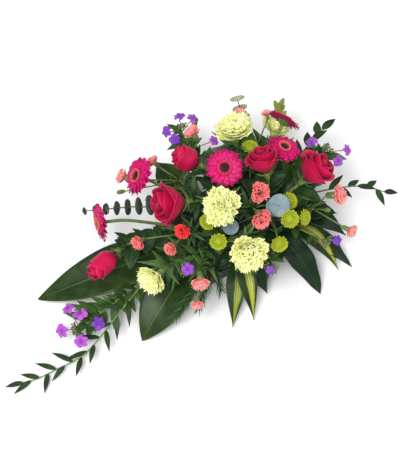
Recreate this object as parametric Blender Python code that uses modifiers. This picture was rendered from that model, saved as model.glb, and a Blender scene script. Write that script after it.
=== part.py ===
"""Casket spray: a single-ended spray of cut flowers and leaves in a tray of wet floral foam.

Lengths are in millimetres until a mesh is made, which is in metres. +Z is up, X runs along the
spray with its long trailing end at -X, and the origin is the middle of the tray's underside.
Every stem is a straight line from the foam's long axis that bends only near its flower, so
the stems fan out without crossing each other.
"""
import math
import random

import bmesh
import bpy
import numpy as np
from mathutils import Matrix, Vector

MM = 0.001
GAP = 0.3

# tray and foam
TRAY_LENGTH = 260.0
TRAY_WIDTH = 130.0
TRAY_HEIGHT = 28.0
TRAY_WALL = 2.0
TRAY_CORNER = 14.0
FOAM_LENGTH = 230.0
FOAM_WIDTH = 110.0
FOAM_TOP = 80.0

# where stems start: a point on the long axis, inside the foam
ROOT_HEIGHT = 45.0
ROOT_REACH = 100.0
ROOT_EASE = 150.0
LOW_REACH = 60.0
STEM_DEPTH = 25.0
HOLE_PAST = 12.0
FLOOR_CLEAR = 3.0
FOAM_CLEAR = 5.0
FLAT_ANGLE = math.radians(0.5)

# stem radii
ROSE_STEM = 2.8
GERBERA_STEM = 2.6
CARNATION_STEM = 2.2
SPRAY_STEM = 1.6
LEAF_STALK = 2.0
TWIG = 1.5

# leaves: how thick, and the turn about a stem from one leaf or bud to the next, in degrees
BLADE_THICKNESS = 1.6
LEAFLET_THICKNESS = 1.0
NEXT_TURN = 137.5

# colours, linear
CRIMSON = (0.58, 0.008, 0.065)
MAGENTA = (0.72, 0.003, 0.19)
CREAM = (0.80, 0.83, 0.32)
CORAL = (0.82, 0.12, 0.11)
LIME = (0.42, 0.50, 0.035)
PURPLE = (0.30, 0.06, 0.58)
DARK_GREEN = (0.015, 0.055, 0.018)
STRIPE_GREEN = (0.16, 0.26, 0.03)
GREY_GREEN = (0.20, 0.28, 0.23)
FOAM_GREEN = (0.03, 0.10, 0.05)
TRAY_GREEN = (0.01, 0.05, 0.025)

# flowers: middle of the head, look as bearing and pitch in degrees, diameter
ROSES = {
    "rose_1": ((-60, 70, 175), (134, 24), 41, 1.3),
    "rose_2": ((-125, 10, 180), (167, 17), 62, 1.0),
    "rose_3": ((33, -7, 194), (88, 54), 48, 1.05),
    "rose_4": ((100, -55, 180), (-5, 42), 56, 1.05),
    "rose_5": ((-248, 12, 96), (196, 0), 37, 1.8),
}
GERBERAS = {
    "gerbera_1": ((-135, 95, 150), (159, 40), 66),
    "gerbera_2": ((-220, 70, 115), (169, 11), 64),
    "gerbera_3": ((-22, 18, 187), (-121, 63), 63),
    "gerbera_4": ((80, 5, 180), (-1, 70), 59),
    "gerbera_5": ((115, 55, 170), (27, 20), 58),
}
CARNATIONS = {
    "carnation_1": ((35, 80, 175), (87, 78), 66),
    "carnation_2": ((-65, -40, 190), (-126, 57), 66),
    "carnation_3": ((-60, -115, 155), (-117, 39), 66),
    "carnation_4": ((-200, -60, 115), (-160, 16), 54),
    "carnation_5": ((120, 82, 116), (30, 47), 56),
}
SPRAY_CARNATIONS = {
    "spray_carnation_1": [((0, -50, 190), (-111, 54), 35), ((-20, -85, 180), (-107, 27), 37)],
    "spray_carnation_2": [((-130, -35, 165), (-147, 44), 27), ((-190, 0, 130), (-164, 20), 26),
                          ((-155, -40, 140), (-157, 25), 25)],
    "spray_carnation_3": [((-140, -105, 120), (-115, 0), 33), ((-155, -120, 85), (-121, -6), 23)],
    "spray_carnation_4": [((120, -95, 145), (-47, 26), 36), ((120, -140, 100), (-61, 3), 26)],
    "spray_carnation_5": [((-20, 120, 155), (110, 47), 32), ((-95, 120, 130), (121, 44), 24),
                          ((-145, 135, 105), (136, 14), 30)],
    "spray_carnation_6": [((100, 85, 165), (83, 40), 18), ((75, 125, 135), (52, 36), 26)],
}
BUTTONS = {
    "button_chrysanthemum_1": [((-90, -75, 155), (-121, 42), 28), ((-83, -31, 145), (-151, 36), 27)],
    "button_chrysanthemum_2": [((-10, -125, 150), (-107, 35), 28), ((25, -100, 160), (-102, 53), 30),
                               ((50, -105, 150), (-58, 38), 26), ((45, -70, 155), (-58, 56), 28)],
    "button_chrysanthemum_3": [((48, 52, 150), (59, 80), 28)],
}
# phlox: top of the stem, florets as middle and diameter, number of buds and leaves
PHLOX = {
    "phlox_1": ((-22, 152, 120), [((-12, 178, 128), 21), ((4, 160, 132), 21), ((-45, 163, 126), 21),
                                  ((-44, 138, 132), 21), ((14, 108, 124), 18)], 5, 3),
    "phlox_2": ((155, -8, 128), [((142, 12, 142), 22), ((190, -24, 130), 20), ((162, -38, 136), 20)], 4, 2),
    "phlox_3": ((-325, -42, 40), [((-327, -6, 50), 23), ((-316, -28, 60), 25), ((-354, -36, 50), 24),
                                  ((-298, -56, 54), 24), ((-336, -68, 50), 23)], 5, 7),
    "phlox_4": ((-145, -70, 120), [((-150, -84, 137), 21)], 2, 2),
    "phlox_5": ((-28, -128, 106), [((-36, -142, 118), 14)], 4, 1),
    "phlox_6": ((77, -124, 84), [((94, -142, 94), 18)], 3, 1),
}
# leaves on one stalk: for each leaf its tip, the pitch it sets out at, width, wave, fold, and how far
# to the side of its tip it sets out, in degrees
LEAF_FANS = {
    "aspidistra_1": [((-355, 57, 5), 4, 84, 0, 0.2, 9)],
    "aspidistra_2": [((-245, -97, 5), 2, 78, 0, 0.2, 0)],
    "aspidistra_3": [((-75, 148, 78), 26, 54, 0, 0.25, 0), ((-130, 78, 80), 34, 42, 0, 0.25, 0)],
    "striped_leaves": [((-107, -152, 5), 6, 34, 0, 0.25, 0), ((-71, -159, 6), 24, 34, 0, 0.25, 0),
                       ((-30, -134, 18), 20, 44, 0, 0.25, 0)],
    "wavy_leaf": [((49, -175, 5), 15, 46, 3, 0.2, 0)],
    "right_leaves": [((95, -157, 18), 28, 38, 0, 0.3, 9), ((122, -160, 5), 8, 40, 2, 0.25, 0)],
    "side_leaves": [((125, -127, 60), 22, 38, 0, 0.3, 0), ((124, -97, 88), 38, 42, 2, 0.3, 0)],
    "back_leaves_1": [((-60, 150, 15), 10, 66, 2, 0.25, 0), ((-105, 105, 25), 22, 54, 0, 0.3, 0)],
    "back_leaves_2": [((40, 160, 15), 10, 66, 2, 0.25, 0), ((115, 140, 15), 16, 58, 0, 0.3, 0)],
    "end_leaves": [((190, 60, 15), 8, 60, 2, 0.25, 0), ((168, -10, 25), 18, 50, 0, 0.3, 0)],
}
# routes of the foliage stems, from just outside the foam on
RUSCUS = {
    "ruscus_trail": ([(-160, -18, 72), (-237, -46, 56), (-300, -68, 34), (-342, -80, 20),
                      (-388, -73, 12), (-420, -71, 8), (-444, -63, 6)], 16, 41, 9),
    "ruscus_right": ([(142, -64, 106), (182, -84, 108), (212, -108, 96)], 7, 32, 11),
    "ruscus_top": ([(150, 34, 92), (172, 40, 104), (188, 42, 110)], 6, 32, 14),
}
# eucalyptus: bend and end of the stem, pairs of round leaves after the bend, first and last diameter
EUCALYPTUS = {
    "eucalyptus_left": ((-128, 48, 125), (-226, 127, 75), 7, 33, 13),
    "eucalyptus_top": ((88, 134, 97), (91, 158, 127), 3, 28, 26),
    "eucalyptus_front": ((19, -65, 151), (20, -76, 170), 2, 31, 36),
}
NEEDLE_STEP = 13.0
NEEDLE_FORK = (-92, -66, 66)
NEEDLE_TIPS = [(-186, -108, 55), (-150, -116, 62), (-102, -106, 56)]
PITTOSPORUM_TIP = (150, 118, 104)
PITTOSPORUM_LEAVES = 14
PITTOSPORUM_LEAF = 24
# phlox florets: where they turn to, as bearing and pitch, and how far from the top of the stem they
# may be before their stalk starts lower down
TO_LIGHT = (-121, 60)
FLORET_REACH = 45


def unit(bearing, pitch):
    """Direction with this compass bearing from +X and this rise above level, in degrees."""
    b, p = math.radians(bearing), math.radians(pitch)
    return Vector((math.cos(b) * math.cos(p), math.sin(b) * math.cos(p), math.sin(p)))


def facing(middle, look, spin=0.0):
    """Matrix that puts a form made around +Z at this place, looking that way."""
    ahead = unit(*look)
    across = Vector((-ahead.y, ahead.x, 0.0)).normalized()
    turn = Matrix((across, ahead.cross(across), ahead)).transposed().to_4x4()
    return Matrix.Translation(Vector(middle)) @ turn @ Matrix.Rotation(spin, 4, "Z")


def look_of(way):
    """Bearing and pitch of a direction, in degrees."""
    return math.degrees(math.atan2(way.y, way.x)), math.degrees(math.asin(way.normalized().z))


def root_of(point, reach=ROOT_REACH):
    """Where the straight stem to this point starts on the foam's long axis."""
    return Vector((reach * point[0] / (abs(point[0]) + ROOT_EASE), 0.0, ROOT_HEIGHT))


def leaves_foam(start, way):
    """Where a line from inside the foam comes out of it."""
    limits = (FOAM_LENGTH / 2, FOAM_WIDTH / 2)
    runs = [(limits[k] - math.copysign(1, way[k]) * start[k]) / abs(way[k]) for k in (0, 1) if way[k]]
    if way.z > 0:
        runs.append((FOAM_TOP - start.z) / way.z)
    return start + way * min(runs)


def new_object(name, verts, faces):
    """Object in metres from points in millimetres; points that coincide are welded."""
    mesh = bpy.data.meshes.new(name)
    mesh.from_pydata([tuple(Vector(v) * MM) for v in verts], [], faces)
    body = bmesh.new()
    body.from_mesh(mesh)
    bmesh.ops.remove_doubles(body, verts=body.verts, dist=1e-6)
    bmesh.ops.recalc_face_normals(body, faces=body.faces)
    body.to_mesh(mesh)
    body.free()
    return bpy.data.objects.new(name, mesh)


def in_metres(matrix):
    """The same matrix with its translation, given in millimetres, turned into metres."""
    place = matrix.copy()
    place.translation = place.translation * MM
    return place


def moved(piece, matrix):
    """The piece, placed by a matrix whose translation is in millimetres."""
    piece.matrix_world = in_metres(matrix)
    return piece


def rod(points, radii):
    """Stem along a route: a curve with 4 sides, to be made a mesh later."""
    curve = bpy.data.curves.new("rod", "CURVE")
    curve.dimensions = "3D"
    curve.twist_mode = "Z_UP"
    curve.bevel_depth = MM
    curve.bevel_resolution = 0
    curve.use_fill_caps = True
    spline = curve.splines.new("POLY")
    spline.points.add(len(points) - 1)
    for k, (knot, point) in enumerate(zip(spline.points, points)):
        knot.co = (*(Vector(point) * MM), 1.0)
        knot.radius = radii[k] if isinstance(radii, (list, tuple)) else radii
    return bpy.data.objects.new("rod", curve)


def cone(bottom, top, low_radius, high_radius, sides=6):
    """Straight cone or prism between two points."""
    mesh = bpy.data.meshes.new("cone")
    axis = Vector(top) - Vector(bottom)
    body = bmesh.new()
    bmesh.ops.create_cone(body, cap_ends=True, segments=sides, radius1=low_radius * MM,
                          radius2=high_radius * MM, depth=axis.length * MM)
    body.to_mesh(mesh)
    body.free()
    turn = axis.to_track_quat("Z", "Y").to_matrix().to_4x4()
    mesh.transform(in_metres(Matrix.Translation((Vector(bottom) + Vector(top)) / 2) @ turn))
    return bpy.data.objects.new("cone", mesh)


def egg(middle, radii, around=6, rings=4):
    """Core of a dense head: a low sphere stretched to three radii."""
    mesh = bpy.data.meshes.new("egg")
    body = bmesh.new()
    bmesh.ops.create_uvsphere(body, u_segments=around, v_segments=rings, radius=MM)
    bmesh.ops.scale(body, vec=Vector(radii), verts=body.verts)
    body.to_mesh(mesh)
    body.free()
    mesh.transform(Matrix.Translation(Vector(middle) * MM))
    return bpy.data.objects.new("egg", mesh)


def zipper(ring, ring_turns, rim, rim_turns):
    """Triangles between a ring and a rim around it that has another number of points."""
    order = sorted(range(len(rim)), key=lambda n: (rim_turns[n] - ring_turns[0]) % math.tau)
    rim = [rim[n] for n in order]
    outer = [(rim_turns[n] - ring_turns[0]) % math.tau for n in order]
    inner = [math.tau * n / len(ring) for n in range(len(ring))]
    faces = []
    i = j = 0
    while i < len(ring) or j < len(rim):
        next_inner = inner[(i + 1) % len(ring)] + math.tau * ((i + 1) // len(ring))
        next_outer = outer[(j + 1) % len(rim)] + math.tau * ((j + 1) // len(rim))
        a, b = ring[i % len(ring)], rim[j % len(rim)]
        if j < len(rim) and (i >= len(ring) or next_outer <= next_inner):
            j += 1
            faces.append((a, b, rim[j % len(rim)]))
        else:
            i += 1
            faces.append((a, b, ring[i % len(ring)]))
    return faces


def tiers(sides, necks, levels, tip, spin=0.0, jitter=0.0, draw=None):
    """Flower head as one closed body: rounds of thin petals on one core.

    necks has one list of core rings (radius, height) below each round and one above the last.
    Each round is (count, rim, rib): rim lists one petal's edge as (share of its sector from
    -0.5, radius, height) from the cut before it, and rib, or None, is the petal's thick spot as
    (radius, height, thickness outwards, thickness upwards). Upper and lower faces are split
    alike. tip is the height of the top.
    """
    verts, faces = [], []

    def ring(radius, height):
        verts.extend((radius * math.cos(spin + n * math.tau / sides),
                      radius * math.sin(spin + n * math.tau / sides), height) for n in range(sides))
        return list(range(len(verts) - sides, len(verts)))

    turns = [spin + n * math.tau / sides for n in range(sides)]

    def core(rows):
        rings = [ring(radius, height) for radius, height in rows]
        for low, high in zip(rings, rings[1:]):
            faces.extend((low[n], low[(n + 1) % sides], high[(n + 1) % sides], high[n])
                         for n in range(sides))
        return rings

    rings = core(necks[0])
    faces.append(tuple(rings[0]))
    below = rings[-1]
    for index, (count, rim, rib) in enumerate(levels):
        rings = core(necks[index + 1])
        above = rings[0]
        start = spin + (0.37 + draw.uniform(0, 1) if draw else 0)
        step = math.tau / count
        petals, edge_turns, edge = [], [], []
        for petal in range(count):
            grow = 1 + (draw.uniform(-jitter, jitter) if draw else 0)
            lift = draw.uniform(-jitter, jitter) * rim[-1][1] if draw else 0
            points = []
            for place, (share, radius, height) in enumerate(rim):
                turn = start + (petal + 0.5 + share) * step
                reach = radius * (grow if place else 1)
                rise = height + (lift if place else 0)
                points.append(len(verts))
                edge_turns.append(turn)
                verts.append((reach * math.cos(turn), reach * math.sin(turn), rise))
            edge += points
            ribs = []
            turn = start + (petal + 0.5) * step
            for side in (-1, 1) if rib else ():
                ribs.append(len(verts))
                reach = rib[0] - side * rib[2] / 2
                rise = rib[1] + lift / 2 + side * rib[3] / 2
                verts.append((reach * math.cos(turn), reach * math.sin(turn), rise))
            petals.append((points, ribs))
        for side, neck in enumerate((below, above)):
            if not rib:
                faces += zipper(neck, turns, edge, edge_turns)
                continue
            inner = [point for points, ribs in petals for point in (points[0], ribs[side])]
            inner_turns = [start + n * step / 2 for n in range(2 * count)]
            faces += zipper(neck, turns, inner, inner_turns)
            for petal, (points, ribs) in enumerate(petals):
                loop = points + [petals[(petal + 1) % count][0][0]]
                faces += [(a, b, ribs[side]) for a, b in zip(loop, loop[1:])]
        below = rings[-1]
    verts.append((0.0, 0.0, tip))
    faces += [(below[n], below[(n + 1) % sides], len(verts) - 1) for n in range(sides)]
    return new_object("tiers", verts, faces)


def along(points, steps):
    """Points at equal steps on the quadratic curve with these three control points."""
    a, b, c = (Vector(p) for p in points)
    result = []
    for k in range(steps + 1):
        t = k / steps
        result.append(a * (1 - t) ** 2 + b * 2 * t * (1 - t) + c * t * t)
    return result


def blade(path, widths, thickness, fold, wave=0.0):
    """Leaf along a path: a rib with two half blades folded up by an angle, pointed at both ends.

    widths gives the full width at each point of the path, zero at its ends.
    """
    verts, marks = [], []
    last = len(path) - 1
    for k, point in enumerate(path):
        tangent = (path[min(k + 1, last)] - path[max(k - 1, 0)]).normalized()
        across = Vector((-tangent.y, tangent.x, 0.0))
        if across.length < 1e-6:
            across = Vector((0.0, 1.0, 0.0))
        across.normalize()
        normal = tangent.cross(across)
        marks.append(len(verts))
        if widths[k] == 0:
            verts.append(point)
            continue
        half = widths[k] / 2
        ripple = wave * (-1) ** k
        left = point + (across * math.cos(fold) + normal * math.sin(fold)) * half + normal * ripple
        right = point + (-across * math.cos(fold) + normal * math.sin(fold)) * half - normal * ripple
        verts += [left, right, point + normal * thickness / 2, point - normal * thickness / 2]
    faces = []
    for k in range(last):
        a, b = marks[k], marks[k + 1]
        if widths[k] == 0:
            faces += [(a, b, b + 2), (a, b + 2, b + 1), (a, b + 3, b), (a, b + 1, b + 3)]
        elif widths[k + 1] == 0:
            faces += [(b, a + 2, a), (b, a + 1, a + 2), (b, a, a + 3), (b, a + 3, a + 1)]
        else:
            faces += [(a, b, b + 2), (a, b + 2, a + 2), (a + 1, a + 2, b + 2), (a + 1, b + 2, b + 1)]
            faces += [(a, b + 3, b), (a, a + 3, b + 3), (a + 1, b + 3, a + 3), (a + 1, b + 1, b + 3)]
    return new_object("blade", verts, faces)


def leaflet(base, tip, width, fold=0.3, sag=0.1):
    """Small leaf with one wide place, from base to tip."""
    base, tip = Vector(base), Vector(tip)
    length = (tip - base).length
    middle = (base + tip) / 2 + Vector((0, 0, sag * length))
    return blade([base, middle, tip], [0, width, 0], LEAFLET_THICKNESS, fold)


def own_mesh(piece, depsgraph):
    """The piece as a mesh object in world space, with a curve's caps welded."""
    mesh = bpy.data.meshes.new_from_object(piece.evaluated_get(depsgraph))
    mesh.transform(piece.matrix_world)
    body = bmesh.new()
    body.from_mesh(mesh)
    bmesh.ops.remove_doubles(body, verts=body.verts, dist=1e-6)
    bmesh.ops.recalc_face_normals(body, faces=body.faces)
    body.to_mesh(mesh)
    body.free()
    bpy.data.objects.remove(piece)
    return bpy.data.objects.new("piece", mesh)


def keep_largest(mesh):
    """Keep the largest closed surface, without scraps or sealed hollows, and merge its flat faces."""
    body = bmesh.new()
    body.from_mesh(mesh)
    left, islands = set(body.faces), []
    while left:
        island, edge = set(), [left.pop()]
        while edge:
            face = edge.pop()
            island.add(face)
            for near in (f for e in face.edges for f in e.link_faces if f in left):
                left.discard(near)
                edge.append(near)
        islands.append(island)
    keep = max(islands, key=lambda island: sum(face.calc_area() for face in island))
    scraps = [face for island in islands if island is not keep for face in island]
    bmesh.ops.delete(body, geom=scraps, context="FACES")
    bmesh.ops.dissolve_limit(body, angle_limit=FLAT_ANGLE, verts=body.verts, edges=body.edges)
    bmesh.ops.triangulate(body, faces=body.faces)
    body.to_mesh(mesh)
    body.free()


def fuse(name, pieces, look, place=None):
    """One closed body from pieces that overlap, named, coloured and placed."""
    stage = bpy.context.scene.collection
    for piece in pieces:
        stage.objects.link(piece)
    depsgraph = bpy.context.evaluated_depsgraph_get()
    solids = [own_mesh(piece, depsgraph) for piece in pieces]
    group = bpy.data.collections.new("joined")
    stage.children.link(group)
    base = solids[0]
    stage.objects.link(base)
    for solid in solids[1:]:
        group.objects.link(solid)
    if len(solids) > 1:
        union = base.modifiers.new("union", "BOOLEAN")
        union.operation = "UNION"
        union.operand_type = "COLLECTION"
        union.collection = group
        union.solver = "MANIFOLD"
    mesh = bpy.data.meshes.new_from_object(base.evaluated_get(bpy.context.evaluated_depsgraph_get()))
    for solid in solids:
        bpy.data.objects.remove(solid)
    bpy.data.collections.remove(group)
    keep_largest(mesh)
    mesh.name = name
    mesh.materials.clear()
    mesh.materials.append(look)
    node = bpy.data.objects.new(name, mesh)
    SPRAY.objects.link(node)
    return moved(node, place) if place else node


def take(owner, start, end, radius):
    """Note the room that a stem, head or leaf takes up."""
    TAKEN.append((owner, Vector(start), Vector(end), radius))


def is_clear(owner, start, end, radius):
    """Whether a leaf here keeps out of the foam and of the room of every other node."""
    others = [row for row in TAKEN if row[0] != owner]
    first = np.array([row[1] for row in others])
    run = np.array([row[2] for row in others]) - first
    room = np.array([row[3] for row in others])
    for k in range(9):
        place = start.lerp(end, k / 8)
        over = abs(place.x) < FOAM_LENGTH / 2 + FOAM_CLEAR and abs(place.y) < FOAM_WIDTH / 2 + FOAM_CLEAR
        if over and place.z < FOAM_TOP + FOAM_CLEAR:
            return False
        reach = np.array(place) - first
        share = np.clip((reach * run).sum(1) / np.maximum((run * run).sum(1), 1e-9), 0, 1)
        if (np.linalg.norm(reach - run * share[:, None], axis=1) < radius + room).any():
            return False
    return True


def stem_route(base, look, neck, reach=ROOT_REACH):
    """Route of a stem from inside the foam to a flower's base: straight, then bent to its look."""
    base = Vector(base)
    knee = base - unit(*look) * neck
    root = root_of(knee, reach)
    way = (knee - root).normalized()
    out = leaves_foam(root, way)
    bend = min(neck, 0.7 * (knee - out).length)
    return [out - way * STEM_DEPTH] + along((knee - way * bend, knee, base), 2)


def stand(owner, route, radius):
    """Take up a route's room and drill the foam for it."""
    way = (route[1] - route[0]).normalized()
    HOLES.append((route[0] - way * GAP, route[0] + way * (STEM_DEPTH + HOLE_PAST), radius + 1.5 * GAP))
    for a, b in zip(route, route[1:]):
        take(owner, a, b, radius)


def point_at(route, share):
    """Point and direction at a share of a route's length."""
    lengths = [(b - a).length for a, b in zip(route, route[1:])]
    left = share * sum(lengths)
    for a, b, run in zip(route, route[1:], lengths):
        if left <= run:
            return a.lerp(b, left / run), (b - a).normalized()
        left -= run
    return route[-1], (route[-1] - route[-2]).normalized()


def leaf_way(tangent, turn, tilt):
    """Direction that leans away from a stem by a tilt, at a turn about it (both in degrees)."""
    side = tangent.orthogonal().normalized()
    side = Matrix.Rotation(math.radians(turn), 3, tangent) @ side
    lean = math.radians(tilt)
    return (tangent * math.cos(lean) + side * math.sin(lean)).normalized()


def leaf_on(name, route, share, turn, tilt, length, width, sag=0.1):
    """Wish for a leaf on a stem; it is placed once all stems and heads are."""
    WISHES.append((name, route, share, turn, tilt, length, width, sag))


def grow_leaves():
    """Give each leaf the first turn about its stem that is clear, or else a smaller leaf."""
    turns = (0, 35, -35, 70, -70, 105, -105, 140, -140, 180)
    for name, route, share, turn, tilt, length, width, sag in WISHES:
        start, tangent = point_at(route, share)
        for size, step in [(size, step) for size in (1.0, 0.7) for step in turns]:
            way = leaf_way(tangent, turn + step, tilt)
            tip, reach = start + way * length * size, 0.36 * width * size
            if is_clear(name, start + way * 8, tip, reach + 1):
                take(name + "_leaf", start + way * 8, tip, reach)
                NODES[name][0].append(leaflet(start, tip, width * size, sag=sag))
                break


def rose(name, middle, look, diameter, tall):
    """Rose: three rounds of cupped petals about a closed heart, on a stem with sepals and leaves."""
    radius = diameter / 2
    draw = random.Random(name)
    spin = draw.uniform(0, math.tau)
    flare = 0.0 if tall > 1.1 else 1.0
    levels = []
    for count, cut, low, wide, top, rib, mid in (
            (5, 0.5, -0.38, 0.9 + 0.1 * flare, 0.52 - 0.16 * flare, 0.8, -0.06),
            (4, 0.42, -0.02, 0.72, 0.68, 0.62, 0.26),
            (3, 0.32, 0.28, 0.42, 0.84, 0.4, 0.5)):
        reach, rise = wide * radius, top * radius * tall
        rim = [(-0.5, cut * radius, low * radius * tall), (-0.32, 0.95 * reach, rise - 0.08 * radius),
               (0.0, reach, rise), (0.32, 0.95 * reach, rise - 0.08 * radius)]
        levels.append((count, rim, (rib * radius, mid * radius * tall, 1.6, 0.8)))
    necks = [[(0.16, -0.8), (0.3, -0.62)], [(0.3, -0.36)], [(0.26, 0.0)], [(0.2, 0.28), (0.14, 0.55)]]
    necks = [[(wide * radius, rise * radius * tall) for wide, rise in rows] for rows in necks]
    head = tiers(6, necks, levels, 0.8 * radius * tall, spin, 0.03, draw)
    NODES[name] = [[head], "crimson", facing(middle, look)]
    take(name, middle, middle, radius)
    bottom = Vector(middle) - unit(*look) * (0.8 * radius * tall + GAP)
    route = stem_route(bottom - unit(*look) * 4, look, 26)
    stem_name = name + "_stem"
    stand(stem_name, route, ROSE_STEM)
    half = (0.4 * radius, -0.03 * radius)
    sepals = (5, [(-0.5, 6, -3), (-0.25, *half), (0, 0.66 * radius, 0.16 * radius), (0.25, *half)], None)
    calyx = tiers(5, [[(3.6, -11), (5.4, -5)], [(4.4, -0.4)]], [sepals], 0, spin)
    stem = [rod(route, [ROSE_STEM] * 4), moved(calyx, facing(bottom, look))]
    NODES[stem_name] = [stem, "leaf", None]
    for share, turn in ((0.36, 70), (0.45, 0), (0.5, 210), (0.55, 140), (0.65, 260), (0.75, 30), (0.82, 180)):
        leaf_on(stem_name, route, share, turn, 58, 50, 28)


def gerbera(name, middle, look, diameter):
    """Mini gerbera: two rounds of ray petals about a dark eye, on a bare stem."""
    radius = diameter / 2
    draw = random.Random(name)
    place = facing(middle, look)
    outer = (19, [(-0.5, 0.32 * radius, 0.03 * radius), (-0.3, 0.8 * radius, 0.12 * radius),
                  (0.0, radius, 0.08 * radius), (0.3, 0.8 * radius, 0.12 * radius)],
             (0.6 * radius, 0.10 * radius, 0.0, 1.6))
    inner = (13, [(-0.5, 0.29 * radius, 0.14 * radius), (-0.24, 0.7 * radius, 0.26 * radius),
                  (0.24, 0.7 * radius, 0.26 * radius)], None)
    necks = [[(2.4, -0.3 * radius), (0.26 * radius, -0.03 * radius)], [(0.26 * radius, 0.08 * radius)],
             [(0.25 * radius, 0.18 * radius), (0.15 * radius, 0.25 * radius)]]
    head = tiers(8, necks, [outer, inner], 0.24 * radius, 0.0, 0.03, draw)
    bottom = Vector(middle) - unit(*look) * 0.25 * radius
    route = stem_route(bottom, look, 26)
    stand(name, route, GERBERA_STEM)
    take(name, middle, middle, 0.8 * radius)
    NODES[name] = [[moved(head, place), rod(route, [GERBERA_STEM] * 4)], "magenta", None]


def carnation(name, middle, look, diameter):
    """Carnation: a dome of ruffled petals in four rounds, on a stem with calyx and leaves."""
    radius = diameter / 2
    draw = random.Random(name)
    levels = []
    for count, wide, edge, cut, low, rib in (
            (7, 1.0, -0.04, 0.45, -0.16, 0.64), (7, 0.86, 0.26, 0.38, 0.04, 0.56),
            (6, 0.62, 0.46, 0.29, 0.2, 0.42), (4, 0.34, 0.6, 0.17, 0.4, 0.24)):
        reach, rise, frill = wide * radius, edge * radius, 0.055 * radius
        rim = [(-0.5, cut * radius, low * radius), (-0.36, 0.93 * reach, rise + frill),
               (-0.12, reach, rise - frill), (0.12, 0.95 * reach, rise + frill),
               (0.36, 0.95 * reach, rise - frill)]
        thick = (rib * radius, 0.5 * (edge + low) * radius, 0.0, 1.8)
        levels.append((count, rim, thick if wide > 0.7 else None))
    necks = [[(0.15, -0.62), (0.28, -0.3)], [(0.3, -0.1)], [(0.22, 0.11)], [(0.12, 0.3)], [(0.08, 0.46)]]
    necks = [[(wide * radius, rise * radius) for wide, rise in rows] for rows in necks]
    pieces = [tiers(6, necks, levels, 0.52 * radius, 0.0, 0.05, draw)]
    place = facing(middle, look)
    NODES[name] = [pieces, "cream", place]
    take(name, middle, Vector(middle) + unit(*look) * 0.2 * radius, 0.9 * radius)
    bottom = Vector(middle) - unit(*look) * (0.62 * radius + GAP)
    route = stem_route(bottom, look, 34)
    stem_name = name + "_stem"
    stand(stem_name, route, CARNATION_STEM)
    stem = [rod(route, [CARNATION_STEM] * 4), cone(bottom - unit(*look) * 24, bottom, 3.4, 0.2 * radius)]
    NODES[stem_name] = [stem, "leaf", None]
    for share, turn in ((0.35, 90), (0.35, 270), (0.5, 0), (0.5, 180), (0.72, 90)):
        leaf_on(stem_name, route, share, turn, 42, 58, 10, 0.04)


def ruffled_head(middle, look, diameter, draw):
    """Small carnation head: two rounds of ruffled petals in a long calyx."""
    radius = diameter / 2
    outer = (5, [(-0.5, 0.44 * radius, -0.03 * radius), (-0.33, 0.95 * radius, 0.22 * radius),
                 (0.0, radius, 0.06 * radius), (0.33, 0.95 * radius, 0.22 * radius)], None)
    inner = (5, [(-0.5, 0.34 * radius, 0.3 * radius), (-0.25, 0.64 * radius, 0.62 * radius),
                 (0.25, 0.64 * radius, 0.5 * radius)], None)
    necks = [[(2.2, -1.15 * radius), (0.36 * radius, -0.12 * radius)], [(0.3 * radius, 0.1 * radius)],
             [(0.2 * radius, 0.34 * radius)]]
    head = tiers(5, necks, [outer, inner], 0.42 * radius, draw.uniform(0, 6), 0.06, draw)
    return moved(head, facing(middle, look))


def button_head(middle, look, diameter, draw):
    """Button chrysanthemum head: a dome of florets in a ring of short ray petals."""
    radius = diameter / 2
    rays = (10, [(-0.5, 0.8 * radius, -0.04 * radius), (0.0, radius, 0.0)], None)
    necks = [[(2.0, -0.5 * radius), (0.6 * radius, -0.12 * radius)],
             [(0.72 * radius, 0.08 * radius), (0.46 * radius, 0.3 * radius)]]
    head = tiers(7, necks, [rays], 0.38 * radius, draw.uniform(0, 6), 0.03, draw)
    return moved(head, facing(middle, look))


def floret(origin, middle, diameter, draw):
    """Phlox floret: five round lobes on a thin tube that starts at the stem's top."""
    radius = diameter / 2
    rim = [(-0.5, 0.3 * radius, 0), (-0.26, radius, 0.06 * radius), (0.26, radius, 0.06 * radius)]
    tube = middle - origin
    necks = [[(0.9, 1.0 - tube.length), (1.3, -1.0)], [(1.4, 0.9)]]
    head = tiers(3, necks, [(5, rim, None)], 0.6, draw.uniform(0, 6), 0.04, draw)
    place = facing(middle, look_of(tube))
    flat = place.to_3x3().transposed() @ (tube.normalized() + unit(*TO_LIGHT))
    slant = Matrix.Identity(4)
    slant[2][0], slant[2][1] = -flat.x / flat.z, -flat.y / flat.z
    head.data.transform(slant)
    return moved(head, place)


def bud(base, tip):
    """Flower bud on its stalk: a three-sided spindle, widest near its end."""
    axis = tip - base
    wide = base + axis * 0.72
    side = axis.orthogonal().normalized() * 2.0
    turn = Matrix.Rotation(math.tau / 3, 3, axis)
    corners = [wide + side, wide + turn @ side, wide + turn @ turn @ side]
    faces = [(0, 2, 1), (0, 3, 2), (0, 1, 3), (4, 1, 2), (4, 2, 3), (4, 3, 1)]
    return new_object("bud", [base] + corners + [tip], faces)


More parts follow.
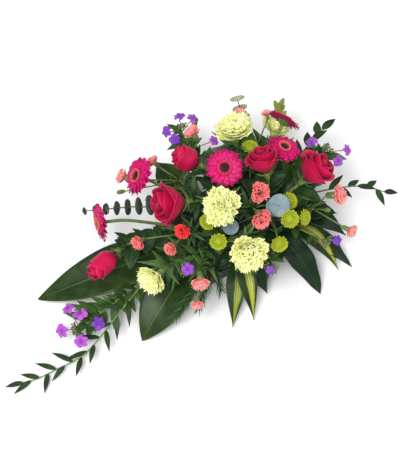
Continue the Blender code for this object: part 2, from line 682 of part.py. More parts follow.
def forked(owner, heads, drop, radius, fork_share):
    """Stem that forks to several heads; returns its solids and the main route."""
    bases = [Vector(middle) - unit(*look) * drop(size) for middle, look, size in heads]
    centre = sum(bases, Vector()) / len(bases)
    ways = sum((unit(*look) for _, look, _ in heads), Vector())
    if len(heads) == 1:
        route = stem_route(bases[0], heads[0][1], 22)
        stand(owner, route, radius)
        return [rod(route, [radius] * len(route))], route
    root = root_of(centre)
    way = (centre - root).normalized()
    out = leaves_foam(root, way)
    fork = out.lerp(centre - ways.normalized() * 12, fork_share)
    route = [out - way * STEM_DEPTH, out + way * 5, fork]
    stand(owner, route, radius)
    solids = [rod(route, [radius] * 3)]
    for base, (middle, look, size) in zip(bases, heads):
        side = [fork - (base - fork).normalized() * 1.2, base + unit(*look) * 1.5]
        solids.append(rod(side, [0.8 * radius] * 2))
        take(owner, side[0], side[1], radius)
    return solids, route


def spray(name, heads):
    """Spray carnation: small ruffled heads on one forked stem with narrow leaves."""
    draw = random.Random(name)
    solids, route = forked(name, heads, lambda size: 0.55 * size, SPRAY_STEM, 0.55)
    for middle, look, size in heads:
        take(name, middle, middle, 0.9 * size / 2)
        solids.append(ruffled_head(middle, look, size, draw))
    NODES[name] = [solids, "coral", None]
    for share, turn in ((0.5, 30), (0.65, 210), (0.8, 120)):
        leaf_on(name, route, share, turn, 45, 44, 9, 0.05)


def buttons(name, heads):
    """Button chrysanthemums on one forked stem with broad leaves."""
    draw = random.Random(name)
    solids, route = forked(name, heads, lambda size: 0.24 * size, SPRAY_STEM, 0.5)
    for middle, look, size in heads:
        take(name, middle, middle, 0.9 * size / 2)
        solids.append(button_head(middle, look, size, draw))
    NODES[name] = [solids, "lime", None]
    for share, turn in ((0.36, 300), (0.45, 0), (0.55, 130), (0.7, 250), (0.85, 20)):
        leaf_on(name, route, share, turn, 60, 50, 26)


def phlox(name, centre, florets, buds, leaves):
    """Phlox: florets and buds that spread from the top of a leafy stem."""
    draw = random.Random(name)
    centre = Vector(centre)
    root = root_of(centre)
    way = (centre - root).normalized()
    out = leaves_foam(root, way)
    route = [out - way * STEM_DEPTH, out + way * 5, centre]
    stand(name, route, SPRAY_STEM)
    solids = [rod(route, [SPRAY_STEM] * 3)]
    for middle, size in florets:
        middle = Vector(middle)
        near_top = (middle - centre).length < FLORET_REACH
        origin = centre if near_top else point_at(route, 0.75)[0]
        solids.append(floret(origin, middle, size, draw))
        take(name, middle - (middle - origin).normalized() * 2, middle, 0.4 * size)
        take(name, origin, middle, 1.2)
    solids.append(egg(centre, (3.2, 3.2, 3.2), 5, 3))
    for k in range(buds):
        lean = leaf_way(way, k * NEXT_TURN, 25 + 9 * k)
        solids.append(bud(centre, centre + lean * (15 + 3 * math.sin(2.4 * k))))
    take(name, centre, centre, 11)
    NODES[name] = [solids, "purple", None]
    for k in range(leaves):
        share = 0.45 + 0.5 * k / max(1, leaves - 1)
        leaf_on(name, route, share, k * NEXT_TURN, 50, 44, 15, 0.05)


def take_blade(owner, path, widths):
    """Note the room of a wide leaf as three lines along it."""
    for k in range(len(path) - 1):
        run = path[k + 1] - path[k]
        across = Vector((-run.y, run.x, 0.0)).normalized()
        for side in (-0.3, 0.0, 0.3):
            shift = [across * side * widths[j] for j in (k, k + 1)]
            take(owner, path[k] + shift[0], path[k + 1] + shift[1], 2 + 0.1 * widths[k])


def leaf_fan(name, leaves, steps=6):
    """Large leaves that arch out from one stalk to their tips."""
    reach = LOW_REACH if leaves[0][0][1] < 0 else ROOT_REACH
    middle = sum((Vector(leaf[0]) for leaf in leaves), Vector()) / len(leaves)
    root = root_of(middle, reach)
    flat = middle - root
    pitch = min(leaf[1] for leaf in leaves)
    way = unit(math.degrees(math.atan2(flat.y, flat.x)), pitch)
    out = leaves_foam(root, way)
    fork = out + way * 5
    solids = [rod([out - way * STEM_DEPTH, fork + way * 4], [LEAF_STALK, LEAF_STALK])]
    stand(name, [out - way * STEM_DEPTH, fork], LEAF_STALK)
    for tip, pitch, width, wave, fold, aside in leaves:
        run = Vector(tip) - fork
        ahead = unit(math.degrees(math.atan2(run.y, run.x)) + aside, pitch)
        path = along((fork, fork + ahead * 0.55 * run.length, tip), steps)
        swell = 0.8 if len(leaves) == 1 else 1.2
        widths = [width * math.sin(math.pi * (k / steps) ** 0.8) ** swell for k in range(steps)] + [0]
        solids.append(blade(path, widths, BLADE_THICKNESS, fold, wave))
        take_blade(name, path, widths)
    NODES[name] = [solids, "leaf", None]


def ruscus(name, points, leaves, length, width):
    """Ruscus stem with pointed leaves set alternately along it."""
    first = Vector(points[0])
    root = root_of(first)
    way = (first - root).normalized()
    out = leaves_foam(root, way)
    route = [out - way * STEM_DEPTH] + [Vector(point) for point in points]
    stand(name, route, TWIG)
    solids = [rod(route, [TWIG] * (len(route) - 2) + [0.8 * TWIG, 0.6 * TWIG])]
    for k in range(leaves):
        share = 0.42 + 0.58 * k / (leaves - 1)
        start, tangent = point_at(route, min(share, 0.995))
        side = Vector((-tangent.y, tangent.x, 0.0)).normalized() * (-1) ** k
        lean = 0.0 if k == leaves - 1 else math.radians(42 + 14 * math.sin(1.7 * k))
        rise = 0.35 * math.sin(2.4 * k) * min(1.0, start.z / 60)
        leaf = (tangent * math.cos(lean) + side * math.sin(lean) + Vector((0, 0, rise))).normalized()
        tip = start + leaf * length * (1 - 0.25 * k / leaves + 0.12 * math.sin(2.9 * k))
        tip.z = max(tip.z, FLOOR_CLEAR)
        solids.append(leaflet(start - leaf, tip, width, 0.25, 0.04))
        take(name, start, tip, 0.3 * width)
    NODES[name] = [solids, "leaf", None]


def eucalyptus(name, bend, end, pairs, first, last):
    """Eucalyptus: a stem that bends, then runs through pairs of round leaves that stand across it."""
    draw = random.Random(name)
    bend, end = Vector(bend), Vector(end)
    root = root_of(bend)
    rising = (bend - root).normalized()
    out = leaves_foam(root, rising)
    route = [out - rising * STEM_DEPTH, bend, end]
    stand(name, route, TWIG)
    way = (end - bend).normalized()
    length = (end - bend).length
    rows, levels = [(TWIG, -1.0)], []
    necks = []
    for k in range(pairs):
        rise = (0.08 + 0.89 * k / (pairs - 1)) * length
        radius = (first + (last - first) * k / (pairs - 1)) / 2
        necks.append(rows + [(0.9 * TWIG, rise - 1.2)])
        rows = [(0.9 * TWIG, rise + 1.0)]
        rim = [(-0.5, 0.66 * radius, rise + 1.0), (-0.34, 0.98 * radius, rise + 2.5),
               (0.0, radius, rise + 3.0), (0.34, 0.98 * radius, rise + 2.5)]
        levels.append((2, rim, (0.5 * radius, rise + 1.8, 0.0, 1.4)))
        middle = bend + way * rise
        take(name, middle - way, middle + way * 2, 0.9 * radius)
    necks.append(rows)
    leafy = moved(tiers(4, necks, levels, length, 0.0, 0.02, draw), facing(bend, look_of(way)))
    NODES[name] = [[rod([route[0], bend + rising], [TWIG, TWIG]), leafy], "grey", None]


def needle_sprig():
    """Low sprig whose branches are set with short needles."""
    name = "needle_sprig"
    fork = Vector(NEEDLE_FORK)
    root = root_of(fork)
    way = (fork - root).normalized()
    out = leaves_foam(root, way)
    route = [out - way * STEM_DEPTH, fork]
    stand(name, route, TWIG)
    solids = [rod(route, [TWIG, TWIG])]
    for tip in NEEDLE_TIPS:
        branch = [fork - (Vector(tip) - fork).normalized() * 1.5, Vector(tip)]
        solids.append(rod(branch, [1.3, 0.9]))
        take(name, branch[0], branch[1], 6)
        count = round((branch[1] - branch[0]).length / NEEDLE_STEP)
        for k in range(count):
            start, tangent = point_at(branch, 0.25 + 0.74 * k / count)
            ahead = leaf_way(tangent, k * NEXT_TURN, 38)
            solids.append(cone(start - ahead * 0.6, start + ahead * 15, 0.9, 0.0, 3))
    NODES[name] = [solids, "leaf", None]


def pittosporum():
    """Twig with whorls of small oval leaves."""
    name = "pittosporum"
    end = Vector(PITTOSPORUM_TIP)
    root = root_of(end)
    way = (end - root).normalized()
    out = leaves_foam(root, way)
    route = [out - way * STEM_DEPTH, end]
    stand(name, route, TWIG)
    solids = [rod(route, [TWIG, 0.8 * TWIG])]
    for k in range(PITTOSPORUM_LEAVES):
        start, tangent = point_at(route, 0.55 + 0.45 * k / PITTOSPORUM_LEAVES)
        ahead = leaf_way(tangent, k * NEXT_TURN, 60 - 3 * k)
        tip = start + ahead * PITTOSPORUM_LEAF
        if is_clear(name, start + ahead * 5, tip, 4):
            solids.append(leaflet(start - ahead, tip, 10))
            take(name, start, tip, 4)
    NODES[name] = [solids, "stripe", None]


def tray():
    """Shallow plastic tray: an open box with rounded corners and a floor."""
    mesh = bpy.data.meshes.new("tray")
    body = bmesh.new()
    bmesh.ops.create_cube(body, size=1.0)
    size = Vector((TRAY_LENGTH, TRAY_WIDTH, TRAY_HEIGHT)) * MM
    bmesh.ops.scale(body, vec=size, verts=body.verts)
    bmesh.ops.translate(body, vec=Vector((0, 0, size.z / 2)), verts=body.verts)
    upright = [e for e in body.edges if abs(e.verts[0].co.z - e.verts[1].co.z) > size.z / 2]
    bmesh.ops.bevel(body, geom=upright, offset=TRAY_CORNER * MM, segments=3, affect="EDGES", profile=0.5)
    lid = [f for f in body.faces if f.normal.z > 0.9]
    bmesh.ops.delete(body, geom=lid, context="FACES_ONLY")
    body.to_mesh(mesh)
    body.free()
    mesh.materials.append(LOOKS["tray"])
    shell = bpy.data.objects.new("tray", mesh)
    SPRAY.objects.link(shell)
    wall = shell.modifiers.new("wall", "SOLIDIFY")
    wall.thickness = TRAY_WALL * MM
    wall.offset = -1.0
    wall.use_even_offset = True


def foam():
    """Block of floral foam that stands in the tray, with a hole for each stem."""
    mesh = bpy.data.meshes.new("foam")
    bottom = TRAY_WALL + GAP
    body = bmesh.new()
    bmesh.ops.create_cube(body, size=1.0)
    size = Vector((FOAM_LENGTH, FOAM_WIDTH, FOAM_TOP - bottom)) * MM
    bmesh.ops.scale(body, vec=size, verts=body.verts)
    bmesh.ops.translate(body, vec=Vector((0, 0, bottom * MM + size.z / 2)), verts=body.verts)
    body.to_mesh(mesh)
    body.free()
    mesh.materials.append(LOOKS["foam"])
    stage = bpy.context.scene.collection
    drills = [rod([inner, outer], [radius, radius]) for inner, outer, radius in HOLES]
    for drill in drills:
        stage.objects.link(drill)
    depsgraph = bpy.context.evaluated_depsgraph_get()
    for k, drill in enumerate(drills):
        cutter = own_mesh(drill, depsgraph)
        cutter.name = f"hole_{k + 1}"
        cutter.hide_render = True
        cutter.display_type = "WIRE"
        CUTTERS.objects.link(cutter)
    block = bpy.data.objects.new("foam", mesh)
    SPRAY.objects.link(block)
    cut = block.modifiers.new("holes", "BOOLEAN")
    cut.operation = "DIFFERENCE"
    cut.operand_type = "COLLECTION"
    cut.collection = CUTTERS
    cut.solver = "MANIFOLD"


def look(name, colour, roughness, metallic=0.0):
    """Principled material."""
    material = bpy.data.materials.new(name)
    material.use_nodes = True
    shader = material.node_tree.nodes["Principled BSDF"]
    shader.inputs["Base Color"].default_value = (*colour, 1.0)
    shader.inputs["Roughness"].default_value = roughness
    shader.inputs["Metallic"].default_value = metallic
    return material


for old in list(bpy.data.objects):
    bpy.data.objects.remove(old)
SPRAY = bpy.data.collections.new("casket_spray")
CUTTERS = bpy.data.collections.new("cutters")
bpy.context.scene.collection.children.link(SPRAY)
bpy.context.scene.collection.children.link(CUTTERS)
LOOKS = {
    "crimson": look("rose_petal", CRIMSON, 0.5),
    "magenta": look("gerbera_petal", MAGENTA, 0.5),
    "cream": look("carnation_petal", CREAM, 0.6),
    "coral": look("spray_carnation_petal", CORAL, 0.6),
    "lime": look("button_floret", LIME, 0.6),
    "purple": look("phlox_petal", PURPLE, 0.55),
    "leaf": look("leaf_green", DARK_GREEN, 0.4),
    "stripe": look("stripe_green", STRIPE_GREEN, 0.45),
    "grey": look("grey_green", GREY_GREEN, 0.6),
    "foam": look("wet_foam", FOAM_GREEN, 0.9),
    "tray": look("tray_plastic", TRAY_GREEN, 0.4),
}
TAKEN = []
HOLES = []
WISHES = []
NODES = {}

for name, (middle, facing_way, diameter, tall) in ROSES.items():
    rose(name, middle, facing_way, diameter, tall)
for name, (middle, facing_way, diameter) in GERBERAS.items():
    gerbera(name, middle, facing_way, diameter)
for name, (middle, facing_way, diameter) in CARNATIONS.items():
    carnation(name, middle, facing_way, diameter)
for name, heads in SPRAY_CARNATIONS.items():
    spray(name, heads)
for name, heads in BUTTONS.items():
    buttons(name, heads)
for name, (centre, florets, buds, leaves) in PHLOX.items():
    phlox(name, centre, florets, buds, leaves)
for name, leaves in LEAF_FANS.items():
    leaf_fan(name, leaves)
for name, (points, leaves, length, width) in RUSCUS.items():
    ruscus(name, points, leaves, length, width)
for name, (bend, end, pairs, first, last) in EUCALYPTUS.items():
    eucalyptus(name, bend, end, pairs, first, last)
needle_sprig()
pittosporum()
grow_leaves()
for name, (pieces, shade, place) in NODES.items():
    fuse(name, pieces, LOOKS[shade], place)
tray()
foam()
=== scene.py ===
"""Looks of the casket spray: fine petals, leaves and stems, their materials, the light and the camera.

Lengths are in millimetres until a mesh is made, which is in metres. The layout of the flowers and
leaves repeats the rules of the solids, so that each fine piece stands where its solid does.
"""
import math
import random

import bpy
import numpy as np
from mathutils import Matrix, Vector


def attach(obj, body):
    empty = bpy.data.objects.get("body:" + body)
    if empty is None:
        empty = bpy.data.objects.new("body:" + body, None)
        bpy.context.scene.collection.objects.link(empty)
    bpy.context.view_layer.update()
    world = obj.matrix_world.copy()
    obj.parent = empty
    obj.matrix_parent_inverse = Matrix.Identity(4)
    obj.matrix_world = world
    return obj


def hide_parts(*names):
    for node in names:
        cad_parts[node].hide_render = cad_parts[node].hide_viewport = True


MM = 0.001
# between a head and its stem
GAP = 0.3

# the camera: bearing and pitch of its view, its distance, what it looks at, and its lens
CAMERA_BEARING = -31.0
CAMERA_PITCH = 60.0
CAMERA_DISTANCE = 1900.0
CAMERA_AIM = Vector((-71.0, 11.5, 34.6))
CAMERA_LENS = 87.7

# foam block, the points on its long axis where the stems start, and how far they run inside and then
# straight outside it
FOAM_LENGTH = 230.0
FOAM_WIDTH = 110.0
FOAM_TOP = 80.0
ROOT_HEIGHT = 45.0
ROOT_REACH = 100.0
ROOT_EASE = 150.0
LOW_REACH = 60.0
STEM_DEPTH = 25.0
STRAIGHT_OUT = 5.0
# room above the floor and round the foam, and the tray's: half its length and width, and its height
FLOOR_CLEAR = 3.0
FOAM_CLEAR = 5.0
TRAY_ROOM = (132.0, 67.0, 31.0)

# stem radii
ROSE_STEM = 2.8
GERBERA_STEM = 2.6
CARNATION_STEM = 2.2
SPRAY_STEM = 1.6
LEAF_STALK = 2.0
TWIG = 1.5
# how far below its head a stem bends to the head's look
ROSE_NECK = 26
GERBERA_NECK = 26
CARNATION_NECK = 34
SPRAY_NECK = 22

# flowers: middle of the head, look as bearing and pitch in degrees, diameter
ROSES = {
    "rose_1": ((-60, 70, 175), (134, 24), 41, 1.3),
    "rose_2": ((-125, 10, 180), (167, 17), 62, 1.0),
    "rose_3": ((33, -7, 194), (88, 54), 48, 1.05),
    "rose_4": ((100, -55, 180), (-5, 42), 56, 1.05),
    "rose_5": ((-248, 12, 96), (196, 0), 37, 1.8),
}
GERBERAS = {
    "gerbera_1": ((-135, 95, 150), (159, 40), 66),
    "gerbera_2": ((-220, 70, 115), (169, 11), 64),
    "gerbera_3": ((-22, 18, 187), (-121, 63), 63),
    "gerbera_4": ((80, 5, 180), (-1, 70), 59),
    "gerbera_5": ((115, 55, 170), (27, 20), 58),
}
CARNATIONS = {
    "carnation_1": ((35, 80, 175), (87, 78), 66),
    "carnation_2": ((-65, -40, 190), (-126, 57), 66),
    "carnation_3": ((-60, -115, 155), (-117, 39), 66),
    "carnation_4": ((-200, -60, 115), (-160, 16), 54),
    "carnation_5": ((120, 82, 116), (30, 47), 56),
}
SPRAY_CARNATIONS = {
    "spray_carnation_1": [((0, -50, 190), (-111, 54), 35), ((-20, -85, 180), (-107, 27), 37)],
    "spray_carnation_2": [((-130, -35, 165), (-147, 44), 27), ((-190, 0, 130), (-164, 20), 26),
                          ((-155, -40, 140), (-157, 25), 25)],
    "spray_carnation_3": [((-140, -105, 120), (-115, 0), 33), ((-155, -120, 85), (-121, -6), 23)],
    "spray_carnation_4": [((120, -95, 145), (-47, 26), 36), ((120, -140, 100), (-61, 3), 26)],
    "spray_carnation_5": [((-20, 120, 155), (110, 47), 32), ((-95, 120, 130), (121, 44), 24),
                          ((-145, 135, 105), (136, 14), 30)],
    "spray_carnation_6": [((100, 85, 165), (83, 40), 18), ((75, 125, 135), (52, 36), 26)],
}
# a closed green bud beside the heads
SPRAY_BUDS = {"spray_carnation_4": (102, -103, 125), "spray_carnation_5": (-172, 105, 118)}
# colour of each small carnation: 0 coral, 1 scarlet, 2 pale pink
SPRAY_TONES = {
    "spray_carnation_1": (0, 0),
    "spray_carnation_2": (1, 0, 0),
    "spray_carnation_3": (2, 2),
    "spray_carnation_4": (2, 2),
    "spray_carnation_5": (2, 2, 2),
    "spray_carnation_6": (2, 2),
}
BUTTONS = {
    "button_chrysanthemum_1": [((-90, -75, 155), (-121, 42), 28), ((-83, -31, 145), (-151, 36), 27)],
    "button_chrysanthemum_2": [((-10, -125, 150), (-107, 35), 28), ((25, -100, 160), (-102, 53), 30),
                               ((50, -105, 150), (-58, 38), 26), ((45, -70, 155), (-58, 56), 28)],
    "button_chrysanthemum_3": [((48, 52, 150), (59, 80), 28)],
}
# phlox: top of the stem, florets as middle and diameter, number of buds and leaves
PHLOX = {
    "phlox_1": ((-22, 152, 120), [((-12, 178, 128), 21), ((4, 160, 132), 21), ((-45, 163, 126), 21),
                                  ((-44, 138, 132), 21), ((14, 108, 124), 18)], 5, 3),
    "phlox_2": ((155, -8, 128), [((142, 12, 142), 22), ((190, -24, 130), 20), ((162, -38, 136), 20)], 4, 2),
    "phlox_3": ((-325, -42, 40), [((-327, -6, 50), 23), ((-316, -28, 60), 25), ((-354, -36, 50), 24),
                                  ((-298, -56, 54), 24), ((-336, -68, 50), 23)], 5, 7),
    "phlox_4": ((-145, -70, 120), [((-150, -84, 137), 21)], 2, 2),
    "phlox_5": ((-28, -128, 106), [((-36, -142, 118), 14)], 4, 1),
    "phlox_6": ((77, -124, 84), [((94, -142, 94), 18)], 3, 1),
}
# leaves on one stalk: for each leaf its tip, the pitch it sets out at, width, wave, fold, and how far
# to the side of its tip it sets out, in degrees
LEAF_FANS = {
    "aspidistra_1": [((-355, 57, 5), 4, 84, 0, 0.2, 9)],
    "aspidistra_2": [((-245, -97, 5), 2, 78, 0, 0.2, 0)],
    "aspidistra_3": [((-75, 148, 78), 26, 54, 0, 0.25, 0), ((-130, 78, 80), 34, 42, 0, 0.25, 0)],
    "striped_leaves": [((-107, -152, 5), 6, 34, 0, 0.25, 0), ((-71, -159, 6), 24, 34, 0, 0.25, 0),
                       ((-30, -134, 18), 20, 44, 0, 0.25, 0)],
    "wavy_leaf": [((49, -175, 5), 15, 46, 3, 0.2, 0)],
    "right_leaves": [((95, -157, 18), 28, 38, 0, 0.3, 9), ((122, -160, 5), 8, 40, 2, 0.25, 0)],
    "side_leaves": [((125, -127, 60), 22, 38, 0, 0.3, 0), ((124, -97, 88), 38, 42, 2, 0.3, 0)],
    "back_leaves_1": [((-60, 150, 15), 10, 66, 2, 0.25, 0), ((-105, 105, 25), 22, 54, 0, 0.3, 0)],
    "back_leaves_2": [((40, 160, 15), 10, 66, 2, 0.25, 0), ((115, 140, 15), 16, 58, 0, 0.3, 0)],
    "end_leaves": [((190, 60, 15), 8, 60, 2, 0.25, 0), ((168, -10, 25), 18, 50, 0, 0.3, 0)],
}
# the leaves with a yellow-green stripe
STRIPED = [("striped_leaves", 0), ("striped_leaves", 1), ("right_leaves", 0)]
# routes of the foliage stems, from just outside the foam on
RUSCUS = {
    "ruscus_trail": ([(-160, -18, 72), (-237, -46, 56), (-300, -68, 34), (-342, -80, 20),
                      (-388, -73, 12), (-420, -71, 8), (-444, -63, 6)], 16, 41, 9),
    "ruscus_right": ([(142, -64, 106), (182, -84, 108), (212, -108, 96)], 7, 32, 11),
    "ruscus_top": ([(150, 34, 92), (172, 40, 104), (188, 42, 110)], 6, 32, 14),
}
# eucalyptus: bend and end of the stem, pairs of round leaves after the bend, first and last diameter,
# and look
EUCALYPTUS = {
    "eucalyptus_left": ((-128, 48, 125), (-226, 127, 75), 7, 33, 13, "dark_eucalyptus"),
    "eucalyptus_top": ((88, 134, 97), (91, 158, 127), 3, 28, 26, "pale_eucalyptus"),
    "eucalyptus_front": ((19, -65, 151), (20, -76, 170), 2, 31, 36, "blue_eucalyptus"),
}
# side shoots: where one starts along the stem, its tip, its look and the leaves' diameter
EUCALYPTUS_SHOOTS = {"eucalyptus_front": [(0.5, (-50, -48, 126), (-125, 48), 26)]}
# needle sprig: its fork, the tips of its branches, and the run of stem for each needle
NEEDLE_FORK = (-92, -66, 66)
NEEDLE_TIPS = [(-186, -108, 55), (-150, -116, 62), (-102, -106, 56)]
NEEDLE_STEP = 1.1
PITTOSPORUM_TIP = (150, 118, 104)
PITTOSPORUM_LEAVES = 14
PITTOSPORUM_LEAF = 24
# phlox florets: where they turn to, as bearing and pitch, and how far from the top of the stem they
# may be before their stalk starts lower down
TO_LIGHT = (-121, 60)
FLORET_REACH = 45
# the turn about a stem from one leaf or bud to the next, in degrees
NEXT_TURN = 137.5

# how finely each kind of petal or leaf is made: rows along it and columns across it
ROSE_GRID = (15, 13)
HEART_GRID = (8, 57)
GERBERA_GRID = (8, 5)
CARNATION_GRID = (7, 29)
SPRAY_GRID = (7, 21)
BUTTON_GRID = (4, 4)
LOBE_GRID = (6, 7)
LARGE_GRID = (44, 17)
NARROW_GRID = (12, 5)
SEPAL_GRID = (6, 3)
DISC_GRID = (8, 17)
# steps along a large leaf to note its room, and radius that a stem or a turned body closes to
FAN_STEPS = 6
END = 0.05
# petals or florets in each kind of bloom, and small buds beside each phlox bud
CARNATION_PETALS = 48
SPRAY_PETALS = 24
BUTTON_FLORETS = 95
EYE_FLORETS = 230
BUDS_BESIDE = 6
# how far from its stem a leaf must keep clear of the rest: one that the solids have, a filler, and one
# on the stalk of a fan
LEAF_FREE = 8
STEM_FREE = 7
FAN_FREE = 22
# fewest tries for a filler on a stem, and the air over striped leaves that fillers leave free
LEAST_TRIES = 90
AIR_ABOVE = Vector((0.0, 0.0, 16.0))
AIR_RADIUS = 13
# the turn about a bloom from one petal to the next
GOLDEN = math.pi * (3 - math.sqrt(5))


# layout, as in the solids

def unit(bearing, pitch):
    """Direction with this compass bearing from +X and this rise above level, in degrees."""
    b, p = math.radians(bearing), math.radians(pitch)
    return Vector((math.cos(b) * math.cos(p), math.sin(b) * math.cos(p), math.sin(p)))


def facing(middle, look, spin=0.0):
    """Matrix that puts a form made around +Z at this place, looking that way."""
    ahead = unit(*look)
    across = Vector((-ahead.y, ahead.x, 0.0)).normalized()
    turn = Matrix((across, ahead.cross(across), ahead)).transposed().to_4x4()
    return Matrix.Translation(Vector(middle)) @ turn @ Matrix.Rotation(spin, 4, "Z")


def look_of(way):
    """Bearing and pitch of a direction, in degrees."""
    return math.degrees(math.atan2(way.y, way.x)), math.degrees(math.asin(way.normalized().z))


def root_of(point, reach=ROOT_REACH):
    """Where the straight stem to this point starts on the foam's long axis."""
    return Vector((reach * point[0] / (abs(point[0]) + ROOT_EASE), 0.0, ROOT_HEIGHT))


def leaves_foam(start, way):
    """Where a line from inside the foam comes out of it."""
    limits = (FOAM_LENGTH / 2, FOAM_WIDTH / 2)
    runs = [(limits[k] - math.copysign(1, way[k]) * start[k]) / abs(way[k]) for k in (0, 1) if way[k]]
    if way.z > 0:
        runs.append((FOAM_TOP - start.z) / way.z)
    return start + way * min(runs)


def along(points, steps):
    """Points at equal steps on the quadratic curve with these three control points."""
    a, b, c = (Vector(p) for p in points)
    result = []
    for k in range(steps + 1):
        t = k / steps
        result.append(a * (1 - t) ** 2 + b * 2 * t * (1 - t) + c * t * t)
    return result


def take(owner, start, end, radius):
    """Note the room that a stem, head or leaf takes up."""
    TAKEN.append((owner, Vector(start), Vector(end), radius))


def is_clear(owner, start, end, radius):
    """Whether a leaf here keeps out of the foam and of the room of every other node."""
    others = [row for row in TAKEN if row[0] != owner]
    first = np.array([row[1] for row in others])
    run = np.array([row[2] for row in others]) - first
    room = np.array([row[3] for row in others])
    for k in range(9):
        place = start.lerp(end, k / 8)
        over = abs(place.x) < FOAM_LENGTH / 2 + FOAM_CLEAR and abs(place.y) < FOAM_WIDTH / 2 + FOAM_CLEAR
        if over and place.z < FOAM_TOP + FOAM_CLEAR:
            return False
        reach = np.array(place) - first
        share = np.clip((reach * run).sum(1) / np.maximum((run * run).sum(1), 1e-9), 0, 1)
        if (np.linalg.norm(reach - run * share[:, None], axis=1) < radius + room).any():
            return False
    return True


def way_out(point):
    """Where the straight stem to this point comes out of the foam, and its direction."""
    root = root_of(point)
    way = (point - root).normalized()
    return leaves_foam(root, way), way


def stem_route(base, look, neck):
    """Route of a stem from inside the foam to a flower's base: straight, then bent to its look."""
    base = Vector(base)
    knee = base - unit(*look) * neck
    out, way = way_out(knee)
    bend = min(neck, 0.7 * (knee - out).length)
    return [out - way * STEM_DEPTH] + along((knee - way * bend, knee, base), 2)


def stand(owner, route, radius):
    """Take up a route's room."""
    for a, b in zip(route, route[1:]):
        take(owner, a, b, radius)


def point_at(route, share):
    """Point and direction at a share of a route's length."""
    lengths = [(b - a).length for a, b in zip(route, route[1:])]
    left = share * sum(lengths)
    for a, b, run in zip(route, route[1:], lengths):
        if left <= run:
            return a.lerp(b, left / run), (b - a).normalized()
        left -= run
    return route[-1], (route[-1] - route[-2]).normalized()


def leaf_way(tangent, turn, tilt):
    """Direction that leans away from a stem by a tilt, at a turn about it (both in degrees)."""
    side = tangent.orthogonal().normalized()
    side = Matrix.Rotation(math.radians(turn), 3, tangent) @ side
    lean = math.radians(tilt)
    return (tangent * math.cos(lean) + side * math.sin(lean)).normalized()


def in_tray(point):
    """Whether a point is in the room that the tray takes up."""
    return all(abs(place) < half for place, half in zip(point, TRAY_ROOM))


def leaves_on(name, route, places, *shape):
    """Wish for leaves at these shares and turns of a stem: their tilt, length, width, sag and kind."""
    for share, turn in places:
        WISHES.append((name, route, share, turn, *shape))


def grow_leaves():
    """Once all else is placed, give each leaf wished for the first clear turn, or else a smaller size."""
    turns = (0, 35, -35, 70, -70, 105, -105, 140, -140, 180)
    for index, (name, route, share, turn, tilt, length, width, sag, kind) in enumerate(WISHES):
        start, tangent = point_at(route, share)
        for size, step in [(size, step) for size in (1.0, 0.7) for step in turns]:
            way = leaf_way(tangent, turn + step, tilt)
            tip, reach = start + way * length * size, 0.36 * width * size
            if is_clear(name, start + way * LEAF_FREE, tip, reach + 1):
                take(name + "_leaf", start + way * LEAF_FREE, tip, reach)
                small_leaf(green(name), start, tip, width * size, sag, kind, index)
                break


def fill_leaves():
    """Add the finer leaves that the solids leave out, wherever a stem has room for one."""
    draw = random.Random("fill")
    for path in SHOWN:
        for a, b in zip(path, path[1:]):
            take("air", a + AIR_ABOVE, b + AIR_ABOVE, AIR_RADIUS)
    for name, route, kinds in FILLED:
        free = FAN_FREE if name in LEAF_FANS else STEM_FREE
        length = sum((b - a).length for a, b in zip(route, route[1:]))
        for k in range(max(LEAST_TRIES, round(length))):
            start, tangent = point_at(route, draw.uniform(0.22, 0.92))
            kind, long, width = draw.choice(kinds)
            size = draw.uniform(0.75, 1.15)
            way = leaf_way(tangent, draw.uniform(0, 360), draw.uniform(38, 84))
            tip, reach = start + way * long * size, 0.24 * width * size
            if tip.z <= FLOOR_CLEAR or in_tray(tip) and in_tray(start.lerp(tip, 0.7)):
                continue
            if is_clear(name, start + way * free, tip, reach):
                take(name + "_leaf", start + way * free, tip, reach)
                small_leaf(green(name), start, tip, width * size, 0.06, kind, 31 * k + len(name))


# meshes

def add_object(name, data):
    """Object with this data, put in the scene."""
    made = bpy.data.objects.new(name, data)
    bpy.context.scene.collection.objects.link(made)
    return made


